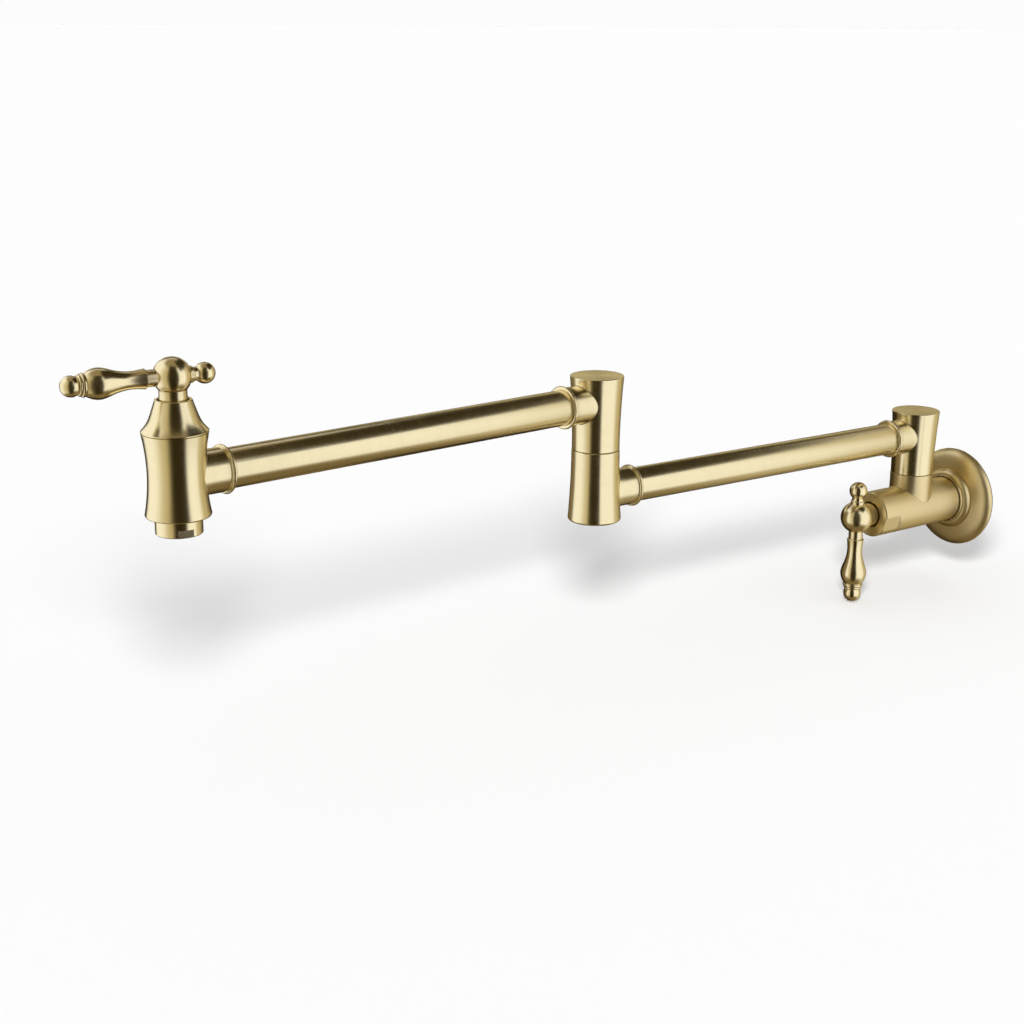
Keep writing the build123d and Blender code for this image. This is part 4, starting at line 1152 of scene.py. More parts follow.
def thread_tree():
    """Ridge of an inner screw thread that winds along a helix."""
    tree, given = geometry_tree(
        "Screw thread", ("Core", FLOAT, THREAD_CORE * MM), ("Root", FLOAT, THREAD_ROOT * MM),
        ("Pitch", FLOAT, 1.8 * MM), ("Length", FLOAT, THREAD_LENGTH * MM),
    )
    root, pitch = given["Root"], given["Pitch"]
    helix = tree.node(
        "GeometryNodeCurveSpiral", Resolution=THREAD_STEPS, Start_Radius=root, End_Radius=root,
        Rotations=tree.maths("DIVIDE", given["Length"], pitch), Height=given["Length"],
    )
    upright = tree.node("GeometryNodeSetCurveNormal", mode="Z_UP", Curve=helix)
    depth = tree.maths("SUBTRACT", root, given["Core"])
    foot = (tree.times(depth, THREAD_SINK), tree.times(pitch, THREAD_FOOT))
    crest = (depth, tree.times(pitch, THREAD_CREST))
    ridge = tree.node("GeometryNodeCurvePrimitiveQuadrilateral", mode="POINTS")
    corners = ((foot, 1.0), (crest, 1.0), (crest, -1.0), (foot, -1.0))
    for number, ((high, half), side) in enumerate(corners, 1):
        width = tree.times(half, side)
        tree.put(ridge, f"Point {number}", tree.node("ShaderNodeCombineXYZ", high, width, 0.0))
    swept = tree.node("GeometryNodeCurveToMesh", upright, ridge, Fill_Caps=True)
    return end_tree(tree, given, swept)


def set_inputs(modifier, **values):
    """Set a Geometry Nodes modifier's inputs, found by name and set by identifier."""
    for item in modifier.node_group.interface.items_tree:
        if item.item_type == "SOCKET" and item.in_out == "INPUT":
            key = item.name.lower().replace(" ", "_")
            if key in values:
                modifier[item.identifier] = values.pop(key)
    if values:
        raise ValueError(f"{modifier.node_group.name} has no input {sorted(values)}")


def grown(name, group, **values):
    """Piece that a Geometry Nodes tree makes, as plain mesh."""
    piece = add_object(name, bpy.data.meshes.new(name))
    modifier = piece.modifiers.new("shape", "NODES")
    modifier.node_group = group
    set_inputs(modifier, **values)
    bake(piece)
    piece.data.shade_smooth()
    piece.data.set_sharp_from_angle(angle=SHARP_ANGLE)
    return piece


# ------------------------------------------------------------------ pieces
class PieceOperator:
    """What the operators share."""

    bl_options = {"REGISTER", "UNDO"}


class FILLER_OT_finishes(PieceOperator, bpy.types.Operator):
    """Make the finishes and give them to the pieces that stay as packed"""

    bl_idname = "filler.finishes"
    bl_label = "Finishes"

    def execute(self, context):
        make_finishes()
        inside = {"brushed_gold": "plain_brass", "polished_gold": "plain_brass"}
        for part in frame["record"]["subparts"]:
            data = frame["nodes"][part["node"]].data
            data.materials.clear()
            slot = part["material_slot"]
            data.materials.append(finishes[inside.get(slot, slot)])
        return {"FINISHED"}


class FILLER_OT_flange(PieceOperator, bpy.types.Operator):
    """Turn the wall flange with its dome, collar and lip"""

    bl_idname = "filler.flange"
    bl_label = "Wall Flange"

    def execute(self, context):
        foot = (FLANGE_RADIUS - FLANGE_FOOT, GASKET)
        edge = (FLANGE_RADIUS, GASKET + FLANGE_EDGE)
        dome_end = (COLLAR_RADIUS + COLLAR_GROOVE, DOME_HEIGHT)
        edge_slope = DOME_FULLNESS * np.array(DOME_EDGE_SLOPE)
        crown_slope = DOME_FULLNESS * np.array(DOME_CROWN_SLOPE)
        groove_radius, groove_start, groove_end = RING_GROOVE
        collar_foot = (COLLAR_RADIUS, DOME_HEIGHT)
        collar_end = (COLLAR_TOP_RADIUS, COLLAR_END)
        inside = (COLLAR_RADIUS, DOME_HEIGHT - DOME_WALL)
        # the collar's side leaves the groove square to the wall
        run = COLLAR_RADIUS - COLLAR_TOP_RADIUS
        rise = COLLAR_END - DOME_HEIGHT
        bend = (run**2 + rise**2) / (2 * run)
        half = math.asin(rise / bend) / 2
        through = (
            COLLAR_RADIUS - bend + bend * math.cos(half), DOME_HEIGHT + bend * math.sin(half)
        )
        outline = [
            foot, (FLANGE_RADIUS, GASKET), edge,
            *spline([edge, dome_end], edge_slope, crown_slope, 28),
            (COLLAR_RADIUS, DOME_HEIGHT - COLLAR_GROOVE), collar_foot,
            *arc(collar_foot, through, collar_end),
            (LIP_EDGE + EDGE_BREAK, COLLAR_END), (LIP_EDGE, LIP_FRONT), (LIP_BORE, LIP_FRONT),
            (LIP_BORE, groove_end), (groove_radius, groove_end),
            (groove_radius, groove_start), (LIP_BORE, groove_start),
            (LIP_BORE, DOME_HEIGHT - DOME_WALL), inside,
            *spline([inside, foot], -crown_slope, -edge_slope, 16)[:-1],
        ]
        placing = Placing((0, 0, 0), OUT_OF_WALL, TO_THE_RIGHT)
        piece = turned("wall_flange_turned", outline, placing, closed=True)
        dress(piece, "wall_valve", "satin_gold", "wall_flange")
        return {"FINISHED"}


def flattened(flats, half, distance, reached):
    """Form that cuts wrench flats into a turned wall.

    The flats' turns and their half width are angles. The distance of a flat from the axis is
    given for a height, and reached tells where the cutter went, for a radius and a height.
    """
    def form(radius, turn, height):
        reduced = radius.copy()
        for flat in flats:
            away = (turn - flat + math.pi) % TURN - math.pi
            near = (abs(away) < half) & reached(radius, height)
            limit = distance(height) / np.cos(np.where(near, away, 0.0))
            reduced = np.where(near, np.minimum(reduced, limit), reduced)
        return reduced

    return form


def creases(flats, half, crease):
    """Turns just inside and outside the two sides of each wrench flat."""
    return [
        (flat + side * half + step) % TURN
        for flat in flats for side in (-1, 1) for step in (-crease, crease)
    ]


class FILLER_OT_valve_body(PieceOperator, bpy.types.Operator):
    """Cast the valve body with its post boss, wrench flats and supply thread"""

    bl_idname = "filler.valve_body"
    bl_label = "Valve Body"

    def execute(self, context):
        sizes = context.scene.filler_sizes
        flat_distance = math.sqrt(BODY_RADIUS**2 - (WRENCH_FLAT_CHORD / 2) ** 2)
        flat_half = math.asin(WRENCH_FLAT_CHORD / 2 / BODY_RADIUS)
        flat_start = BODY_FRONT - WRENCH_FLAT_LENGTH
        # seen from the front the side direction is up and the angle grows to the left
        flats = [side * math.pi / 2 + WRENCH_FLAT_TURN for side in (1, -1)]

        def distance(height):
            # the cutter left a rounded end
            left = np.clip((flat_start + FLAT_RUNOUT - height) / FLAT_RUNOUT, 0, 1)
            return flat_distance + (BODY_RADIUS - flat_distance) * left**2

        def reached(radius, height):
            return (height >= flat_start) & (radius > FRONT_BORE + WALL_MARGIN)

        before = [
            (0, INLET_DEPTH), (INLET_RELIEF, INLET_DEPTH), (INLET_RELIEF, THREAD_LENGTH),
            (THREAD_ROOT, THREAD_LENGTH), (THREAD_ROOT, 0), (BODY_RADIUS, 0),
            (BODY_RADIUS, BODY_BACK_ROW),
        ]
        after = [
            (BODY_RADIUS, flat_start - FLAT_LEAD),
            *((BODY_RADIUS, flat_start + FLAT_RUNOUT * step / ROUND_STEPS)
              for step in range(ROUND_STEPS + 1)),
            (BODY_RADIUS, BODY_FRONT - END_LEAD),
            (BODY_RADIUS, BODY_FRONT - BODY_CHAMFER), (BODY_RADIUS - BODY_CHAMFER, BODY_FRONT),
            (FRONT_BORE, BODY_FRONT), (FRONT_BORE, FRONT_BORE_START), (0, FRONT_BORE_START),
        ]
        bore_floor = BOSS_TOP - SPINDLE_BORE_DEPTH
        branch = {
            "height": POST_OFFSET, "radius": BOSS_RADIUS, "fillet": sizes.saddle_fillet / MM,
            "columns": 64, "rows": 24, "half_turn": BOSS_WINDOW_TURN,
            "outline": [
                (BOSS_RADIUS, BOSS_TOP - END_LEAD), (BOSS_RADIUS, BOSS_TOP),
                (SPINDLE_BORE, BOSS_TOP), (SPINDLE_BORE, bore_floor), (0, bore_floor),
            ],
        }
        body = branched(
            "wall_valve_body_cast", before, lambda height: BODY_RADIUS,
            (POST_OFFSET - BOSS_WINDOW, POST_OFFSET + BOSS_WINDOW), after,
            Placing((0, 0, 0), OUT_OF_WALL, UP), branch,
            flattened(flats, flat_half, distance, reached),
            creases(flats, flat_half, BODY_CREASE),
        )
        dress(body, "wall_valve", "satin_gold", "wall_valve_body")

        thread = grown(
            "inlet_thread", thread_tree(), core=THREAD_CORE * MM, root=THREAD_ROOT * MM,
            pitch=sizes.thread_pitch, length=THREAD_LENGTH * MM - 2 * sizes.thread_pitch,
            finish=finishes["plain_brass"],
        )
        into_wall = Matrix.Rotation(math.pi / 2, 4, "X")
        thread.data.transform(Matrix.Translation((0, -sizes.thread_pitch, 0)) @ into_wall)
        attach(thread, "wall_valve")
        return {"FINISHED"}


def samples(wall, start, end):
    """Rows of a wall between two heights, without the last."""
    count = max(2, round(abs(end - start) / WALL_STEP))
    return [(wall(height), height) for height in np.linspace(start, end, count + 1)[:-1]]


def neck_branch(height, neck_end, fillet):
    """What branched() needs for the neck of an arm: its wall, its end and the tube's socket."""
    socket_floor = neck_end - TUBE_ENGAGEMENT
    return {
        "height": height, "radius": NECK_RADIUS, "fillet": fillet, "columns": 48, "rows": 24,
        "half_turn": NECK_WINDOW_TURN,
        "outline": [
            (NECK_RADIUS, neck_end - NECK_LEAD), (NECK_RADIUS, neck_end), (NECK_BORE, neck_end),
            (NECK_BORE, socket_floor), (0, socket_floor),
        ],
    }


def sleeve(name, placing, arm, foot_radius, rim_start, head, tail, neck_end):
    """Swivel sleeve that widens towards its rim, between the outlines of its two ends."""
    start = SEAM_GAP / 2 + EDGE_BREAK
    middle_radius = foot_radius + (RIM_RADIUS - foot_radius) * FLARE_SHARE
    wall = bowed(
        (foot_radius, start), (middle_radius, (start + rim_start) / 2), (RIM_RADIUS, rim_start)
    )
    window = (arm - NECK_WINDOW, arm + NECK_WINDOW)
    before = [*head, *samples(wall, start, window[0])]
    after = [*samples(wall, window[1], rim_start)[1:], (RIM_RADIUS, rim_start), *tail]
    fillet = bpy.context.scene.filler_sizes.neck_fillet / MM
    return branched(
        name, before, wall, window, after, placing, neck_branch(arm, neck_end, fillet)
    )


class FILLER_OT_swivels(PieceOperator, bpy.types.Operator):
    """Cast the three swivel sleeves with their necks, and drill screw holes in the shoulder and upper elbow
    sleeves
    """

    bl_idname = "filler.swivels"
    bl_label = "Swivel Sleeves"

    def execute(self, context):
        seam = SEAM_GAP / 2
        pocket, pocket_depth = WASHER_POCKET
        pocket_floor = seam + pocket_depth
        for joint, node, body, place, arm_dir, neck_end in (
            ("shoulder", "shoulder_sleeve", "inner_arm", shoulder, inner_dir, SHOULDER_NECK),
            ("elbow_upper", "elbow_upper_sleeve", "outer_arm", elbow, outer_dir, ELBOW_NECK),
        ):
            arm = STEM[joint] + TUBE_RADIUS
            top = arm + TUBE_RADIUS + CROWN[joint]
            bore_end = arm + SLEEVE_BORE_RISE
            head = [
                (0, bore_end), (SLEEVE_BORE, bore_end), (SLEEVE_BORE, pocket_floor),
                (pocket, pocket_floor), (pocket, seam), (SEAM_RADIUS - EDGE_BREAK, seam),
            ]
            piece = sleeve(
                f"{node}_cast", Placing(place, UP, arm_dir), arm, SEAM_RADIUS, top - EDGE_BREAK,
                head, [(RIM_RADIUS - EDGE_BREAK, top), (0, top)], neck_end,
            )
            screw = Placing(place + UP * GRUB_HEIGHT * MM, arm_dir.cross(UP), UP)
            drill(piece, screw, GRUB_HOLE, SLEEVE_BORE - DRILL_ROOM,
                  RIM_RADIUS + LONG_DRILL_ROOM)
            dress(piece, body, "brushed_gold", node)

        arm = STEM["elbow_lower"] + TUBE_RADIUS
        foot = arm + TUBE_RADIUS + CROWN["elbow_lower"]
        rim_start = foot - RIM_ROUND
        bore_floor = seam + SPINDLE_BORE_DEPTH
        face_radius = RIM_RADIUS - RIM_ROUND
        piece = sleeve(
            "elbow_lower_sleeve_cast", Placing(elbow, DOWN, -inner_dir), arm, BOSS_RADIUS,
            rim_start,
            [(0, bore_floor), (SPINDLE_BORE, bore_floor), (SPINDLE_BORE, seam),
             (BOSS_RADIUS - EDGE_BREAK, seam)],
            [*quarter_round((RIM_RADIUS, rim_start), (RIM_RADIUS, foot), (face_radius, foot)),
             (face_radius - FACE_LEAD, foot), (0, foot)],
            ELBOW_NECK,
        )
        dress(piece, "inner_arm", "brushed_gold", "elbow_lower_sleeve")
        return {"FINISHED"}


class FILLER_OT_arms(PieceOperator, bpy.types.Operator):
    """Draw the two arm tubes and turn the bead rings at their necks"""

    bl_idname = "filler.arms"
    bl_label = "Arms"

    def execute(self, context):
        tube = tube_tree()
        step_top = NECK_RADIUS + BEAD_STEP_HEIGHT
        total = BEAD_STEP_WIDTH + BEAD_WIDTH
        bead_start = (step_top - EDGE_BREAK, BEAD_STEP_WIDTH)
        bead_top = (NECK_RADIUS + BEAD_HEIGHT, BEAD_STEP_WIDTH + BEAD_WIDTH / 2)
        outline = [
            (NECK_BORE, 0), (step_top - EDGE_BREAK, 0), (step_top, EDGE_BREAK),
            (step_top, BEAD_STEP_WIDTH - EDGE_BREAK / 2), bead_start,
            *arc(bead_start, bead_top, (NECK_RADIUS, total), 20), (NECK_BORE, total),
        ]
        inset = TUBE_ENGAGEMENT - SEAT_GAP
        for body, start, height, direction, reach, near, far, names in (
            ("inner_arm", shoulder, inner_arm_z, inner_dir, inner_reach, SHOULDER_NECK,
             ELBOW_NECK, ("inner_arm_shoulder_ring", "inner_arm_elbow_ring")),
            ("outer_arm", elbow, outer_arm_z, outer_dir, outer_reach, ELBOW_NECK,
             SPOUT_NECK, ("outer_arm_elbow_ring", "outer_arm_spout_ring")),
        ):
            axis = Vector((start.x, start.y, height * MM))
            piece = grown(
                f"{body}_tube_drawn", tube,
                start=axis + direction * (near - inset) * MM,
                end=axis + direction * (reach - far + inset) * MM,
                radius=TUBE_RADIUS * MM, wall=TUBE_WALL * MM, edge=TUBE_EDGE * MM,
                segments=context.scene.filler_sizes.segments, finish=finishes["brushed_gold"],
            )
            dress(piece, body, "brushed_gold", f"{body}_tube")
            ends = ((near, direction), (reach - far, -direction))
            for name, (distance, away) in zip(names, ends):
                placing = Placing(axis + direction * distance * MM, away, UP)
                ring = turned(f"{name}_turned", outline, placing, closed=True)
                dress(ring, body, "brushed_gold", name)
        return {"FINISHED"}


class FILLER_OT_spout_head(PieceOperator, bpy.types.Operator):
    """Cast the spout body, turn its bonnet and its outlet, and perforate the aerator"""

    bl_idname = "filler.spout_head"
    bl_label = "Spout Head"

    def execute(self, context):
        axis = Vector((spout.x, spout.y, outer_arm_z * MM))
        self.cast_body(axis)
        self.turn_bonnet(axis + UP * SHOULDER_RISE * MM)
        outlet = Placing(axis - UP * BASE_DROP * MM, DOWN, outer_dir)
        self.turn_outlet(outlet)
        self.pierce_aerator(outlet)
        return {"FINISHED"}

    def cast_body(self, axis):
        """Spout body with its bowed wall, its neck and the thread for the bonnet."""
        foot = -BASE_DROP + BASE_ROUND
        top = SHOULDER_RISE - EDGE_BREAK
        wall = bowed((SKIRT_EDGE_RADIUS, foot), (SPOUT_WAIST, 0), (SHOULDER_RADIUS, top))
        face_radius = SKIRT_EDGE_RADIUS - BASE_ROUND
        window = (-NECK_WINDOW, NECK_WINDOW)
        before = [
            (0, SPIGOT_TOP), (SPIGOT_BORE, SPIGOT_TOP), (SPIGOT_BORE, -BASE_DROP),
            (face_radius - FACE_LEAD, -BASE_DROP), (face_radius, -BASE_DROP),
            *quarter_round((face_radius, -BASE_DROP), (SKIRT_EDGE_RADIUS, -BASE_DROP),
                           (SKIRT_EDGE_RADIUS, foot)),
            *samples(wall, foot, window[0])[1:],
        ]
        thread_top = SHOULDER_RISE + BONNET_THREAD_LENGTH
        seam_radius = SHOULDER_RADIUS - BONNET_SEAM_DEPTH
        after = [
            *samples(wall, window[1], top)[1:], (SHOULDER_RADIUS, top), (seam_radius, top),
            (seam_radius, SHOULDER_RISE), (BONNET_THREAD, SHOULDER_RISE),
            (BONNET_THREAD, thread_top), (0, thread_top),
        ]
        fillet = bpy.context.scene.filler_sizes.neck_fillet / MM
        body = branched(
            "spout_body_cast", before, wall, window, after, Placing(axis, UP, -outer_dir),
            neck_branch(0.0, SPOUT_NECK, fillet),
        )
        dress(body, "outer_arm", "brushed_gold", "spout_body")

    def turn_bonnet(self, foot):
        """Bell-shaped bonnet that closes the spout body."""
        edge_radius = SHOULDER_RADIUS - BONNET_EDGE_INSET
        edge_start = (SHOULDER_RADIUS, EDGE_BREAK)
        edge_bow = (SHOULDER_RADIUS, (EDGE_BREAK + BONNET_EDGE) / 2 + BONNET_EDGE_BOW)
        edge_end = (edge_radius, BONNET_EDGE)
        bell_top = (BONNET_HOLE + BONNET_TOP_WALL, BONNET_HEIGHT - EDGE_BREAK)
        bonnet_thread = BONNET_THREAD + SEAT_GAP
        outline = [
            (bonnet_thread, 0), (edge_radius, 0), edge_start,
            *arc(edge_start, edge_bow, edge_end, 6),
            *spline([edge_end, *BONNET_PLACES, bell_top]),
            (bell_top[0] - EDGE_BREAK, BONNET_HEIGHT), (BONNET_HOLE, BONNET_HEIGHT),
            (BONNET_HOLE, POCKET_TOP), (POCKET_RADIUS, POCKET_TOP),
            (POCKET_RADIUS, POCKET_START), (bonnet_thread, BONNET_THREAD_LENGTH + SEAM_GAP),
        ]
        placing = Placing(foot, UP, outer_dir)
        bonnet = turned("spout_bonnet_turned", outline, placing, closed=True)
        dress(bonnet, "outer_arm", "brushed_gold", "spout_bonnet")

    def turn_outlet(self, outlet):
        """Outlet below the spout body, with its two small flats."""
        flat_distance = OUTLET_RADIUS - OUTLET_FLAT_DEPTH
        flat_half = math.acos(flat_distance / OUTLET_RADIUS)
        flat_start = OUTLET_HEIGHT - OUTLET_FLAT_HEIGHT
        cut_start = flat_start + OUTLET_FLAT_STEP
        # the angle grows clockwise seen from above, because the outlet points down
        flats = [side * math.pi / 2 - OUTLET_FLAT_TURN for side in (-1, 1)]

        def reached(radius, height):
            return (height > (flat_start + cut_start) / 2) & (radius > INSERT_RADIUS + WALL_MARGIN)

        segments = bpy.context.scene.filler_sizes.segments
        edges = creases(flats, flat_half, OUTLET_CREASE)
        turns = np.unique(np.concatenate((all_round(segments), edges)))
        bore = INSERT_RADIUS + SEAT_GAP
        outline = [
            (OUTLET_BORE, -SPIGOT_LENGTH), (OUTLET_SPIGOT, -SPIGOT_LENGTH), (OUTLET_SPIGOT, 0),
            (OUTLET_RADIUS, 0), (OUTLET_RADIUS, flat_start - OUTLET_FLAT_LEAD),
            (OUTLET_RADIUS, flat_start), (OUTLET_RADIUS, cut_start),
            (OUTLET_RADIUS, flat_start + OUTLET_CUT_LEAD),
            (OUTLET_RADIUS, OUTLET_HEIGHT - OUTLET_CHAMFER),
            (OUTLET_RADIUS - OUTLET_CHAMFER, OUTLET_HEIGHT), (bore, OUTLET_HEIGHT),
            (bore, OUTLET_FLOOR), (OUTLET_BORE, OUTLET_FLOOR),
        ]
        housing = turned(
            "aerator_housing_turned", outline, outlet, closed=True,
            form=flattened(flats, flat_half, lambda height: flat_distance, reached), turns=turns,
        )
        dress(housing, "outer_arm", "polished_gold", "aerator_housing")

    def pierce_aerator(self, outlet):
        """Aerator insert: a rim round a perforated plate."""
        sizes = bpy.context.scene.filler_sizes
        inner = INSERT_RADIUS - INSERT_RIM
        rim = turned(
            "aerator_rim",
            [(inner, INSERT_START), (INSERT_RADIUS, INSERT_START), (INSERT_RADIUS, INSERT_END),
             (inner, INSERT_END)],
            outlet, closed=True,
        )
        plate = grown(
            "aerator_plate", perforated_tree(), radius=inner * MM, thickness=INSERT_PLATE * MM,
            hole=sizes.aerator_hole, pitch=sizes.aerator_pitch, margin=AERATOR_MARGIN * MM,
            sides=6, finish=finishes["nylon"],
        )
        drop = INSERT_END - INSERT_PLATE / 2 - INSERT_INSET
        place = Vector(outlet.origin + drop * MM * outlet.axis)
        plate.data.transform(Matrix.Translation(place))
        for piece in (rim, plate):
            dress(piece, "outer_arm", "nylon", "aerator_insert")


class FILLER_OT_inlet_screen(PieceOperator, bpy.types.Operator):
    """Perforate the screen behind the supply thread"""

    bl_idname = "filler.inlet_screen"
    bl_label = "Inlet Screen"

    def execute(self, context):
        sizes = context.scene.filler_sizes
        low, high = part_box("inlet_screen")
        screen = grown(
            "inlet_screen_pierced", perforated_tree(), radius=(high.x - low.x) / 2,
            thickness=high.y - low.y, hole=sizes.screen_hole, pitch=sizes.screen_pitch,
            margin=SCREEN_MARGIN * MM, sides=24, finish=finishes["stainless_steel"],
        )
        upright = Matrix.Rotation(math.pi / 2, 4, "X")
        screen.data.transform(Matrix.Translation(middle("inlet_screen")) @ upright)
        dress(screen, "wall_valve", "stainless_steel", "inlet_screen")
        return {"FINISHED"}


def tenon_outline(girth, neck_end):
    """Outline of what seats a lever or finial in its hub: a tenon, a shoulder and a neck."""
    start = TENON_START + SEAT_GAP
    seat = (HUB_RADIUS - SOCKET_DEPTH) * girth + SEAT_GAP
    tenon, neck = TENON_RADIUS * girth, SOCKET_RADIUS * girth
    return [(0, start), (tenon, start), (tenon, seat), (neck, seat), (neck, neck_end)]


def ball_outline(throat, radius, height, steps):
    """Points after the throat on a ball, up to its pole."""
    cap = radius * math.sqrt(0.5)
    near_pole = math.pi / 8
    shoulder_end = (cap, height + cap)
    return [
        *arc(throat, (radius, height), shoulder_end, steps),
        *arc(shoulder_end, (radius * math.sin(near_pole), height + radius * math.cos(near_pole)),
             (0, height + radius), 10),
    ]


def lever_outline(length, girth):
    """Outline of a turned lever: tenon, neck, flare, waist, bulb, two beads and a button."""
    flare_at = HUB_RADIUS * girth + NECK_RUN * length
    waist_at = flare_at + WAIST_RUN * length
    swell_at = waist_at + SWELL_RUN * length
    bulb_at = swell_at + BULB_RUN * length
    bulb_end = bulb_at + BULB_TAIL * length
    button_foot = math.sqrt(BUTTON_RADIUS**2 - BUTTON_NECK**2) * girth
    flare_top = (FLARE_RADIUS * girth, flare_at + FLARE_EDGE * length)
    bulb = (BULB_RADIUS * girth, bulb_at)
    tail = ((BULB_RADIUS + BULB_END_RADIUS + BULB_FULLNESS) / 2 * girth, (bulb_at + bulb_end) / 2)
    outline = [
        *tenon_outline(girth, flare_at), ((FLARE_RADIUS - FLARE_EDGE) * girth, flare_at), flare_top,
        *spline([flare_top, (WAIST_RADIUS * girth, waist_at), (SWELL_RADIUS * girth, swell_at),
                 bulb], unit(FLARE_SLOPE), (0, 1), 16),
        *arc(bulb, tail, (BULB_END_RADIUS * girth, bulb_end)),
    ]
    at = bulb_end
    for radius, end_radius in (
        (BEAD_ONE_RADIUS, BEAD_ONE_RADIUS), (BEAD_TWO_RADIUS, BUTTON_NECK)
    ):
        start = at + BEAD_GAP * length
        at = start + BEAD_RUN * length
        bead = (radius * girth, start)
        top = ((radius + BEAD_SWELL) * girth, (start + at) / 2)
        outline += [bead, *arc(bead, top, (end_radius * girth, at), 8)]
    throat = (BUTTON_NECK * girth, at + BUTTON_THROAT * length)
    button_at = throat[1] + button_foot
    return [*outline, throat, *ball_outline(throat, BUTTON_RADIUS * girth, button_at, 20)]


def finial_outline(length, girth):
    """Outline of a ball finial with its tapered foot."""
    shank = FINIAL_NECK * girth
    tip = FINIAL_RADIUS * girth
    foot_at = (HUB_RADIUS + FINIAL_FOOT_RUN) * girth
    taper_at = foot_at + FINIAL_TAPER * length
    shank_end = (shank, taper_at + FINIAL_SHANK * length)
    tip_at = shank_end[1] + math.sqrt(tip**2 - shank**2)
    foot = (SOCKET_RADIUS * girth, foot_at)
    return [
        *tenon_outline(girth, foot_at),
        *spline([foot, (shank, taper_at), shank_end], unit(FINIAL_SLOPE), (0, 1), 8),
        *ball_outline(shank_end, tip, tip_at, 24),
    ]


class FILLER_OT_handles(PieceOperator, bpy.types.Operator):
    """Turn the two handles: ball hub, lever and finial"""

    bl_idname = "filler.handles"
    bl_label = "Handles"

    def execute(self, context):
        hub_places = {
            "wall": (Vector((0, -wall_hub_distance * MM, 0)), OUT_OF_WALL, DOWN, -TO_THE_RIGHT),
            "spout": (Vector((spout.x, spout.y, 0)), UP, spout_lever_dir,
                      spout_lever_dir.cross(UP)),
        }
        bore_floor = -HUB_RISE + CLIP_ROOM
        for valve, (length, girth) in HANDLES.items():
            body = f"{valve}_handle"
            place, axis, lever_dir, grub_dir = hub_places[valve]
            ball = HUB_RADIUS * girth
            skirt = SKIRT_RADIUS * girth
            # along the axis the hub reaches from the skirt's open end to the top of the ball
            skirt_end, top = sorted(corner.dot(axis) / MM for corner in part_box(f"{body}_hub"))
            middle_at = top - ball
            skirt_low = skirt_end - middle_at
            meet = (skirt, -math.sqrt(ball**2 - skirt**2))
            outline = [
                (0, bore_floor), (HUB_BORE, bore_floor), (HUB_BORE, skirt_low),
                (skirt, skirt_low), meet, *arc(meet, (ball, 0), (0, ball), 48),
            ]
            centre = place - axis * place.dot(axis) + axis * middle_at * MM
            hub = turned(f"{body}_hub_turned", outline, Placing(centre, axis, lever_dir))
            for side in (lever_dir, -lever_dir):
                drill(hub, Placing(centre, side, axis), SOCKET_RADIUS * girth + SEAT_GAP,
                      ball - SOCKET_DEPTH * girth, ball + DRILL_ROOM)
            grub_at = centre + axis * (HANDLE_GRUB_RISE - HUB_RISE) * MM
            drill(hub, Placing(grub_at, grub_dir, axis), HANDLE_GRUB_HOLE,
                  HUB_BORE - DEEP_DRILL_ROOM, ball + DRILL_ROOM)
            dress(hub, body, "polished_gold", f"{body}_hub")
            for part, form, away in (
                ("lever", lever_outline, lever_dir), ("finial", finial_outline, -lever_dir)
            ):
                placing = Placing(centre, away, axis)
                piece = turned(f"{body}_{part}_turned", form(length, girth), placing)
                dress(piece, body, "polished_gold", f"{body}_{part}")
        return {"FINISHED"}


# ------------------------------------------------------------------ stage
CAMERA_PLACE = Vector((0.82461, -1.00721, 0.34312))
CAMERA_HEADING = math.radians(54.07)        # turned left from looking into the wall
CAMERA_PITCH = math.radians(15.91)
CAMERA_ROLL = math.radians(0.46)
CAMERA_LENS = 61.14
CAMERA_SENSOR = 36.0
STAGE_CENTRE = Vector((0.0, -0.33, 0.07))
KEY_PLACE = Vector((0.82, -1.02, 0.66))     # just above the camera
KEY_RADIUS = 0.14
FLOOR_GAP = 0.0004
FLOOR_REACH = 60.0
CARD_COLUMNS = 48
CARD_ROWS = 24
LEAST_SOFTNESS = 0.01
RIM_SHADE_DISTANCE = 80.0


def make_camera(scene):
    """Camera at the photograph's place."""
    data = bpy.data.cameras.new("camera")
    data.lens = CAMERA_LENS
    data.sensor_width = CAMERA_SENSOR
    camera = add_object("camera", data)
    camera.rotation_mode = "QUATERNION"
    camera.rotation_quaternion = (
        Matrix.Rotation(CAMERA_HEADING, 3, "Z")
        @ Matrix.Rotation(math.pi / 2 - CAMERA_PITCH, 3, "X")
        @ Matrix.Rotation(CAMERA_ROLL, 3, "Z")
    ).to_quaternion()
    camera.location = CAMERA_PLACE
    scene.camera = camera


def make_world(scene, backdrop, fill):
    """White surroundings for the camera and the reflections, and softer ones for the rest."""
    world = bpy.data.worlds.new("studio")
    world.use_nodes = True
    world.cycles.sampling_method = "NONE"
    tree = Tree(world.node_tree)
    tree.nodes.clear()
    path = tree.node("ShaderNodeLightPath").outputs
    seen = tree.maths("MAXIMUM", path["Is Camera Ray"], tree.maths(
        "MAXIMUM", path["Is Glossy Ray"], path["Is Transmission Ray"]
    ))
    strength = tree.maths("MULTIPLY_ADD", seen, backdrop - fill, fill)
    shown = tree.node("ShaderNodeBackground", (1, 1, 1, 1), strength)
    tree.node("ShaderNodeOutputWorld", shown)
    scene.world = world


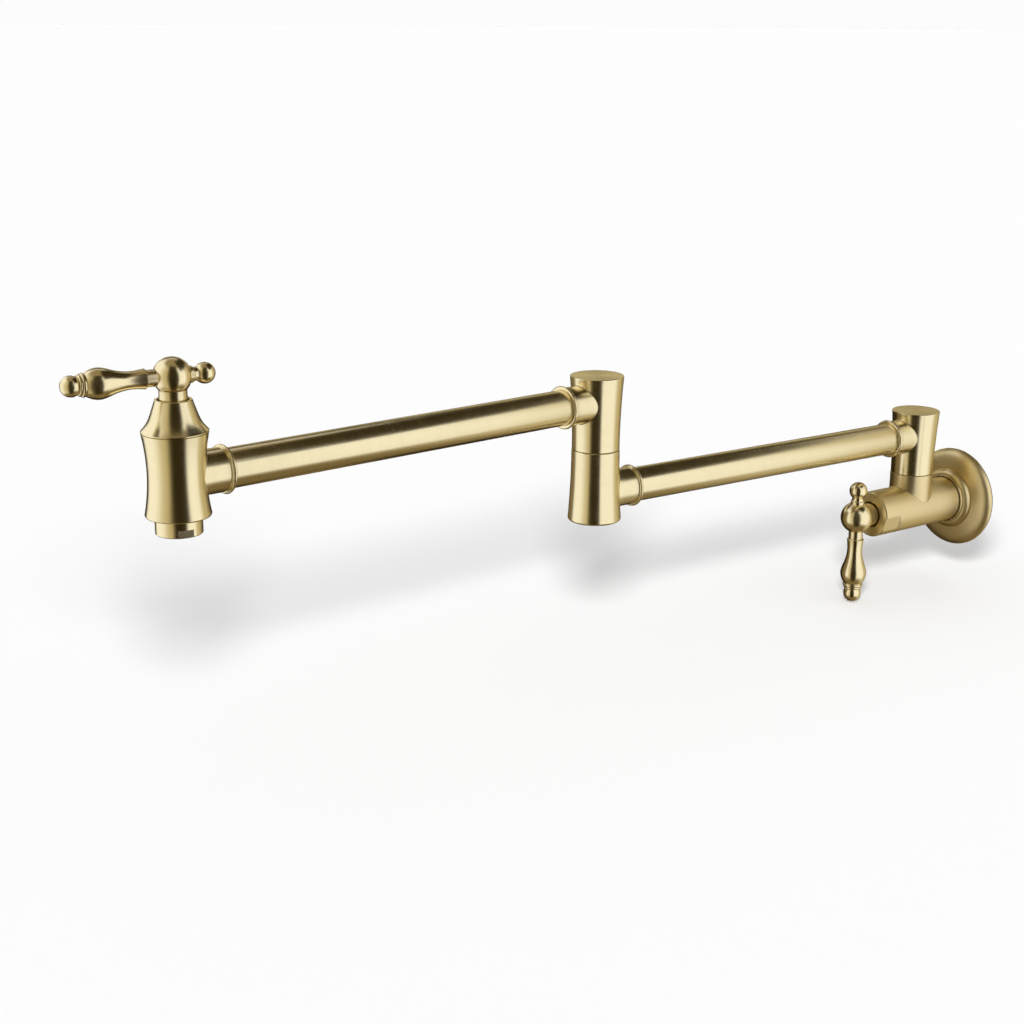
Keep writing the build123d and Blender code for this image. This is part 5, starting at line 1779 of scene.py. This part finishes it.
def make_key(energy):
    """Soft lamp whose light stays the same over the length of the arms."""
    data = bpy.data.lights.new("key", "POINT")
    data.shadow_soft_size = KEY_RADIUS
    data.energy = energy
    data.use_nodes = True
    tree = Tree(data.node_tree)
    tree.nodes.clear()
    steady = tree.node("ShaderNodeLightFalloff").outputs["Constant"]
    distance = tree.node("ShaderNodeLightPath").outputs["Ray Length"]
    even = tree.node("ShaderNodeEmission", (1, 1, 1, 1), tree.times(steady, distance))
    tree.node("ShaderNodeOutputLight", even)
    lamp = add_object("key", data)
    lamp.location = KEY_PLACE
    lamp.visible_glossy = False


def lay_floor(colour):
    """Pale floor just below the lowest piece."""
    span = np.linspace(-FLOOR_REACH, FLOOR_REACH, 3)
    across, along = np.meshgrid(span, span)
    level = np.full_like(across, cad_box[0].z - FLOOR_GAP)
    wrap = np.stack((across, along), axis=-1)
    shell = Shell()
    shell.patch(np.stack((across, along, level), axis=-1), wrap, np.zeros_like(wrap))
    floor = shell.finish("floor")
    material = new_material(
        "floor", Base_Color=(*colour, 1.0), Roughness=0.9, Specular_IOR_Level=0.0
    )[0]
    floor.data.materials.append(material)
    floor.visible_glossy = False


def soft_edges_group():
    """Cover of a card that fades towards its four edges, by its map."""
    tree, given = new_group(
        "Soft edges", "ShaderNodeTree",
        (("Width", FLOAT, 30.0), ("Height", FLOAT, 30.0),
         *((side, FLOAT, 5.0) for side in ("Left", "Right", "Bottom", "Top"))),
        (("Cover", FLOAT),),
    )
    place = tree.apart(tree.node("ShaderNodeUVMap", uv_map="turned"))
    cover = 1.0
    for axis, size, near, far in ((0, "Width", "Left", "Right"), (1, "Height", "Bottom", "Top")):
        from_far = tree.maths("SUBTRACT", given[size], place[axis])
        for distance, soft in ((place[axis], near), (from_far, far)):
            edge = tree.node(
                "ShaderNodeMapRange", interpolation_type="SMOOTHSTEP", Value=distance,
                From_Max=tree.maths("MAXIMUM", given[soft], LEAST_SOFTNESS),
            )
            cover = tree.times(edge, cover)
    tree.node("NodeGroupOutput", Cover=cover)
    return tree.tree


def hang(name, places, across, up, colour, soft, edges, facing=None):
    """Hang a glowing card that only reflections see, with soft edges.

    The soft widths of its left, right, bottom and top edges are in the units of its map.
    A card with a facing direction is clear from behind.
    """
    shell = Shell()
    wrap = np.stack((across, up), axis=-1)
    shell.patch(places, wrap, np.zeros_like(wrap))
    piece = shell.finish(name)
    if facing and piece.data.polygons[0].normal.dot(facing) < 0:
        piece.data.flip_normals()

    material = bpy.data.materials.new(name)
    material.use_nodes = True
    tree = Tree(material.node_tree)
    tree.nodes.clear()
    left, right, bottom, top = soft
    cover = place_group(tree, edges, Width=float(across.max()), Height=float(up.max()),
                        Left=left, Right=right, Bottom=bottom, Top=top)
    if facing:
        behind = tree.node("ShaderNodeNewGeometry").outputs["Backfacing"]
        cover = tree.times(cover, tree.maths("SUBTRACT", 1.0, behind))
    clear = tree.node("ShaderNodeBsdfTransparent")
    glow = tree.node("ShaderNodeEmission", (*colour, 1.0), 1.0)
    tree.node("ShaderNodeOutputMaterial", tree.node("ShaderNodeMixShader", cover, clear, glow))
    piece.data.materials.append(material)
    for ray in ("camera", "diffuse", "transmission", "shadow"):
        setattr(piece, f"visible_{ray}", False)


def curved_card(name, centre, radius, azimuths, elevations, colour, soft, edges, upright=False):
    """Card round a centre: part of a ball, or of a drum where it is upright.

    Azimuths are anticlockwise from straight to the right, seen from above, in degrees.
    """
    across, up = np.meshgrid(
        np.linspace(0, azimuths[1] - azimuths[0], CARD_COLUMNS + 1),
        np.linspace(0, elevations[1] - elevations[0], CARD_ROWS + 1),
    )
    turn, rise = np.radians(azimuths[0] + across), np.radians(elevations[0] + up)
    reach = radius / np.cos(rise) if upright else radius
    places = np.array(centre) + np.stack((
        reach * np.cos(rise) * np.cos(turn),
        reach * np.cos(rise) * np.sin(turn),
        reach * np.sin(rise),
    ), axis=-1)
    hang(name, places, across, up, colour, soft, edges)


def flat_card(name, start, azimuth, runs, heights, colour, soft, edges):
    """Upright card along a line from a place, seen only from the left of that line.

    What stands at that place sees it edge on. Runs and heights are in millimetres.
    """
    across, up = np.meshgrid(
        np.linspace(0, runs[1] - runs[0], 3), np.linspace(0, heights[1] - heights[0], 3)
    )
    turn = math.radians(azimuth)
    reach = (runs[0] + across) * MM
    places = np.stack((
        start.x + reach * math.cos(turn),
        start.y + reach * math.sin(turn),
        (heights[0] + up) * MM,
    ), axis=-1)
    left = Vector((-math.sin(turn), math.cos(turn), 0))
    hang(name, places, across, up, colour, soft, edges, left)


def hang_cards(studio):
    """Cards that give each piece the reflections that the photograph shows on it."""
    edges = soft_edges_group()
    flag, scrim, shade, dusk = (
        tuple(colour) for colour in (studio.flag, studio.scrim, studio.shade, studio.dusk)
    )
    low_spout = Vector((spout.x, spout.y, 0.1))
    low_post = Vector((shoulder.x, shoulder.y, 0))
    flange_place = Vector((0, 0, 0))
    for name, centre, radius, azimuths, elevations, soft in (
        ("front_flag", low_spout, 0.50, (-66, 23), (-78, 74), (36, 17, 5, 6)),
        ("wall_flag", low_post, 0.90, (-78, -31), (-74, 62), (12, 5, 5, 10)),
    ):
        curved_card(name, centre, radius, azimuths, elevations, flag, soft, edges, upright=True)
    for name, centre, radius, azimuths, elevations, colour, soft in (
        ("rear_flag", STAGE_CENTRE, 1.50, (106, 218), (-78, 12), flag, (22, 16, 18, 6)),
        ("rear_high", STAGE_CENTRE, 1.50, (104, 200), (22, 50), flag, (12, 14, 6, 8)),
        ("rear_scrim", STAGE_CENTRE, 1.56, (104, 190), (2, 34), scrim, (8, 8, 2, 2)),
        ("left_scrim", STAGE_CENTRE, 1.56, (-112, -30), (-80, 70), scrim, (44, 5, 5, 10)),
        ("right_shade", STAGE_CENTRE, 1.54, (80, 124), (-75, 40), shade, (30, 8, 8, 12)),
        ("right_scrim", STAGE_CENTRE, 1.57, (46, 124), (-75, 40), scrim, (26, 8, 8, 12)),
        ("top_flag", STAGE_CENTRE, 1.46, (8, 150), (33, 89), flag, (16, 14, 8, 6)),
        ("top_shade", STAGE_CENTRE, 1.52, (-180, 180), (46, 90), shade, (0, 0, 14, 0)),
        ("low_shade", STAGE_CENTRE, 1.60, (-180, 180), (-90, -30), shade, (0, 0, 0, 18)),
        ("low_dusk", STAGE_CENTRE, 1.52, (-180, 180), (-90, -42), dusk, (0, 0, 0, 16)),
        ("wall_shade", flange_place, 0.50, (-150, -106), (-60, 30), dusk, (8, 12, 8, 8)),
    ):
        curved_card(name, centre, radius, azimuths, elevations, colour, soft, edges)
    rim_shade_place = flange_place + RIM_SHADE_DISTANCE * MM * OUT_OF_WALL
    for name, start, azimuth, runs, heights, colour, soft in (
        ("handle_flag", elbow, 10, (170, 560), (-520, 420), flag, (60, 190, 60, 120)),
        ("rim_shade", rim_shade_place, 0, (90, 700), (-460, -25), dusk, (50, 300, 60, 40)),
    ):
        flat_card(name, start, azimuth, runs, heights, colour, soft, edges)


class FILLER_OT_stage(PieceOperator, bpy.types.Operator):
    """Set up the camera, the pale floor, the soft lamp and the flags"""

    bl_idname = "filler.stage"
    bl_label = "Stage"

    def execute(self, context):
        scene = context.scene
        studio = scene.filler_studio
        scene.view_settings.view_transform = "Standard"
        make_camera(scene)
        make_world(scene, studio.backdrop, studio.fill)
        make_key(studio.key)
        lay_floor(studio.floor)
        hang_cards(studio)
        return {"FINISHED"}


# ------------------------------------------------------------------ add-on
SETTINGS = {
    "filler_sizes": FillerSizes, "filler_finish": FillerFinish, "filler_studio": FillerStudio
}
MAKING_ORDER = (
    FILLER_OT_finishes,
    FILLER_OT_flange,
    FILLER_OT_valve_body,
    FILLER_OT_inlet_screen,
    FILLER_OT_swivels,
    FILLER_OT_arms,
    FILLER_OT_spout_head,
    FILLER_OT_handles,
    FILLER_OT_stage,
)


class FILLER_PT_pieces(bpy.types.Panel):
    """Sizes, finishes and the pieces in the order in which they are made"""

    bl_idname = "FILLER_PT_pieces"
    bl_label = "Pot Filler"
    bl_space_type = "VIEW_3D"
    bl_region_type = "UI"
    bl_category = "Pot Filler"

    def draw(self, context):
        for group in SETTINGS:
            settings = getattr(context.scene, group)
            box = self.layout.box()
            for name in settings.__annotations__:
                box.prop(settings, name)
        for operator in MAKING_ORDER:
            self.layout.operator(operator.bl_idname)


CLASSES = (*SETTINGS.values(), *MAKING_ORDER, FILLER_PT_pieces)


def register():
    """Register the classes and hang the settings on the scene."""
    for made in CLASSES:
        bpy.utils.register_class(made)
    for name, group in SETTINGS.items():
        setattr(bpy.types.Scene, name, PointerProperty(type=group))


def unregister():
    """Take the settings and the classes away again."""
    for name in SETTINGS:
        delattr(bpy.types.Scene, name)
    for made in reversed(CLASSES):
        bpy.utils.unregister_class(made)


def main():
    """Make every piece and the stage."""
    register()
    for operator in MAKING_ORDER:
        getattr(bpy.ops.filler, operator.bl_idname.removeprefix("filler."))()


if __name__ == "__main__":
    main()
